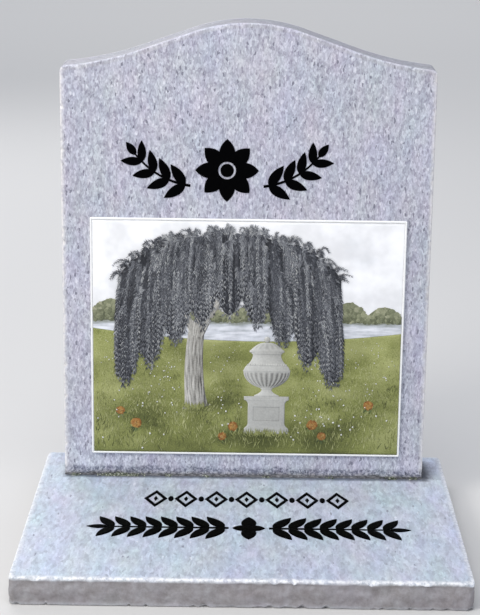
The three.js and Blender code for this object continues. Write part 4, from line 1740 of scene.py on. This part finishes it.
# A raised band between two outlines of the same shape, the inner one scaled from the outer
def raisedBand(p, outline, inner):
    rings = []
    for share, rise in p["bandSection"]:
        rings.append(atDepth(outline * (1 + (inner - 1) * share), rise * p["rise"]))
    return loft(rings, hollow=True)


def ovalLoop(width, depth, count):
    turn = math.tau * np.arange(count) / count
    return np.column_stack([width / 2 * np.cos(turn), depth / 2 * np.sin(turn)])


def rhombLoop(width, depth, steps):
    corners = np.array([(width / 2, 0), (0, depth / 2), (-width / 2, 0), (0, -depth / 2)])
    sides = [np.linspace(corners[k], corners[(k + 1) % 4], steps, endpoint=False) for k in range(4)]
    return np.vstack(sides)


# Pairs of leaves along a stem, and one at its tip
def addSpray(heap, p, line, s):
    addStem(heap, p, line, s["stem"], 0.6 * s["stem"])
    length, width = s["leaf"]
    for i in range(s["pairs"]):
        t = (i + 0.3) / s["pairs"]
        at, after = bezierPoints(line, [t, t + 1e-3])
        angle = math.atan2(after[1] - at[1], after[0] - at[0])
        size = 1 - s["taper"] * t
        for turn in (-s["spread"], s["spread"]):
            addLeaf(heap, p, length * size, width * size, *at, angle + turn)
    tip, before, end = bezierPoints(line, [0.96, 0.999, 1.0])
    addLeaf(heap, p, 0.62 * length, 0.76 * width, *tip, math.atan2(end[1] - before[1], end[0] - before[0]))


def makeGarland(g, p):
    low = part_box("tablet")[0]
    x, z = g["place"]
    stand = (x * mm, low.y, low.z + z * mm)
    start, ring = g["petalStart"], g["ring"]
    hole = g["boss"] + g["gap"]
    heap = Heap()
    for i in range(g["petals"]):
        angle = math.tau * i / g["petals"]
        foot = (start * math.cos(angle), start * math.sin(angle))
        length = g["rosette"] - start
        addLeaf(heap, p, length, g["petalWidth"], *foot, angle, g["petalFullness"], hole, 21, 11)
    heap.add(*raisedBand(p, ovalLoop(2 * ring, 2 * ring, 72), hole / ring), 0.6)
    raised(heap, "rosettePetals", stand, "rosette_petals")

    heap = Heap()
    heap.add(*raisedOutline(p, ovalLoop(2 * g["boss"], 2 * g["boss"], 48), g["bossDome"]), 0.6)
    raised(heap, "rosetteBoss", stand, "rosette_boss")

    start, reach, foot, tip = g["spray"]
    for name, side in (("Left", -1), ("Right", 1)):
        line = np.array([(start, foot), (start + 0.62 * reach, foot + 8), (start + reach, tip)])
        heap = Heap()
        addSpray(heap, p, line * (side, 1), g)
        raised(heap, f"laurel{name}", stand, f"laurel_{name.lower()}")


def slabStand(place):
    x, y = place
    return (x * mm, y * mm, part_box("base_slab")[1].z)


def makeLozenges(r, p):
    width, depth = r["size"]
    shrink = 1 - 2 * r["bar"] / width
    band = raisedBand(p, rhombLoop(width, depth, 10), shrink)
    heart = raisedOutline(p, rhombLoop(r["bar"], 0.42 * depth * shrink, 6), r["heartDome"])
    bead = raisedOutline(p, ovalLoop(*r["bead"], 26), r["beadDome"])
    for name, node, (verts, faces), count in (
        ("Rings", "lozenge", band, r["count"]),
        ("Hearts", "lozenge_heart", heart, r["count"]),
        ("Beads", "bead", bead, r["count"] - 1),
    ):
        heap = Heap()
        for i in range(count):
            heap.add(verts + ((i - (count - 1) / 2) * r["pitch"], 0, 0), faces, 0.6)
        nodes = [f"{node}_{i + 1}" for i in range(count)]
        raised(heap, f"lozenge{name}", slabStand(r["place"]), *nodes, lying=True)


def makeRunner(r, p):
    stand = slabStand(r["place"])
    for name, side in (("Left", -1), ("Right", 1)):
        start = side * r["start"]
        end = side * (r["start"] + r["pairs"] * r["pitch"])
        heap = Heap()
        addSpray(heap, p, [(start, 0), ((start + end) / 2, 0), (end, 0)], r)
        raised(heap, f"runner{name}", stand, f"runner_{name.lower()}", lying=True)
    heap = Heap()
    for i in range(4):
        leaf = r["uprightLeaf"] if i % 2 else r["crossLeaf"]
        addLeaf(heap, p, *leaf, 0, 0, i * math.pi / 2, 0.5)
    heap.add(*raisedOutline(p, ovalLoop(*r["heart"], 28), r["heartDome"]), 0.6)
    raised(heap, "runnerQuatrefoil", stand, "runner_quatrefoil", lying=True)


makeGarland(garland, blackWork)
makeLozenges(lozengeRow, blackWork)
makeRunner(runner, blackWork)
print("ornament raised")


# Setting joint: squeezed mortar round the tablet's foot, with moss in places
joint = {
    "profile": (  # height, reach past the bed
        (-0.1, 6.6), (1.0, 5.6), (2.1, 4.8), (3.2, 4.1), (4.2, 3.0), (5.0, 1.2),
    ),
    "rough": 1.3,
    "lumps": 0.45,
    "steps": 260,  # along each side
    "tones": [(0.0, "#4d4c4e"), (0.4, "#6c6c6e"), (0.75, "#8e8d90"), (1.0, "#b9b7b8")],
    "gloss": (0.9, 0.2, 0.0),
    "mottle": (260, 0.2),
    "relief": 0.5,
}

moss = {
    "patches": (  # place, reach, tufts
        (-209, 40, 330), (-288, 9, 26), (-128, 7, 22), (-64, 6, 16),
        (40, 8, 22), (148, 8, 20), (252, 10, 38), (287, 9, 26),
    ),
    "size": (0.7, 1.7),
    "ahead": (3.4, 9.0),  # before the bed
    "slopeEnd": 7.6,
    "heights": (-0.1, 4.2),
    "tones": [(0.0, "#4c5343"), (0.45, "#757c68"), (0.8, "#9fa393"), (1.0, "#cfcfc6")],
    "gloss": (0.95, 0.1, 0.0),
    "mottle": (900, 0.2),
    "relief": 0.4,
    "seed": 41,
}

bedLow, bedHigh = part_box("setting_bed")
jointStand = ((bedLow.x + bedHigh.x) / 2, (bedLow.y + bedHigh.y) / 2, bedLow.z)


def makeJoint(j):
    width, depth, _ = (bedHigh - bedLow) / mm
    outline = rectLoop(width, depth, 2.0, j["steps"])
    out = outline - rectLoop(width - 20, depth - 20, 1.0, j["steps"])
    out /= np.linalg.norm(out, axis=1)[:, None]
    swell = waver(outline[:, 0], outline[:, 1], 0.09, 3.0, 5)
    rings, tones = [], []
    for rise, reach in j["profile"]:
        lumps = waver(outline[:, 0] + 40 * rise, outline[:, 1], 0.25, 8.0, 3)
        reach = reach + j["rough"] * (swell - 0.3) + j["lumps"] * lumps
        rings.append(atDepth(outline + out * reach[:, None], rise))
        tones.append(unit(0.3 + 0.6 * lumps + 0.35 * swell))
    heap = Heap()
    heap.add(*loft(rings), np.concatenate(tones))
    piece = heap.build("mortarBead", jointStand, toned("mortarBed", j), lying=True)
    settle(piece, "setting_mortar", "setting_bed")


# Moss sits lower the further it grows from the stone
def makeMoss(m):
    dice = np.random.default_rng(m["seed"])
    front = (bedHigh.y - bedLow.y) / mm / 2
    heap = Heap()
    for x, spread, many in m["patches"]:
        a = x + np.clip(dice.normal(0, spread / 2, many), -spread, spread)
        ahead = dice.uniform(*m["ahead"], many)
        size = dice.uniform(*m["size"], many)
        height = np.clip(dice.uniform(0.2, 1.0, many) * (m["slopeEnd"] - ahead), *m["heights"])
        sizes = rowsOf(size, size * 0.8, size * dice.uniform(0.6, 1.1, many))
        places = rowsOf(a, -front - ahead, height)
        heap.scatter(domeShape(7, 3), places, dice.uniform(0, 3, many), sizes, dice.uniform(0, 1, many))
    piece = heap.build("jointMoss", jointStand, toned("moss", m), lying=True, smooth=False)
    settle(piece, "setting_mortar")


makeJoint(joint)
makeMoss(moss)
print("joint filled")


print("pieces in place")
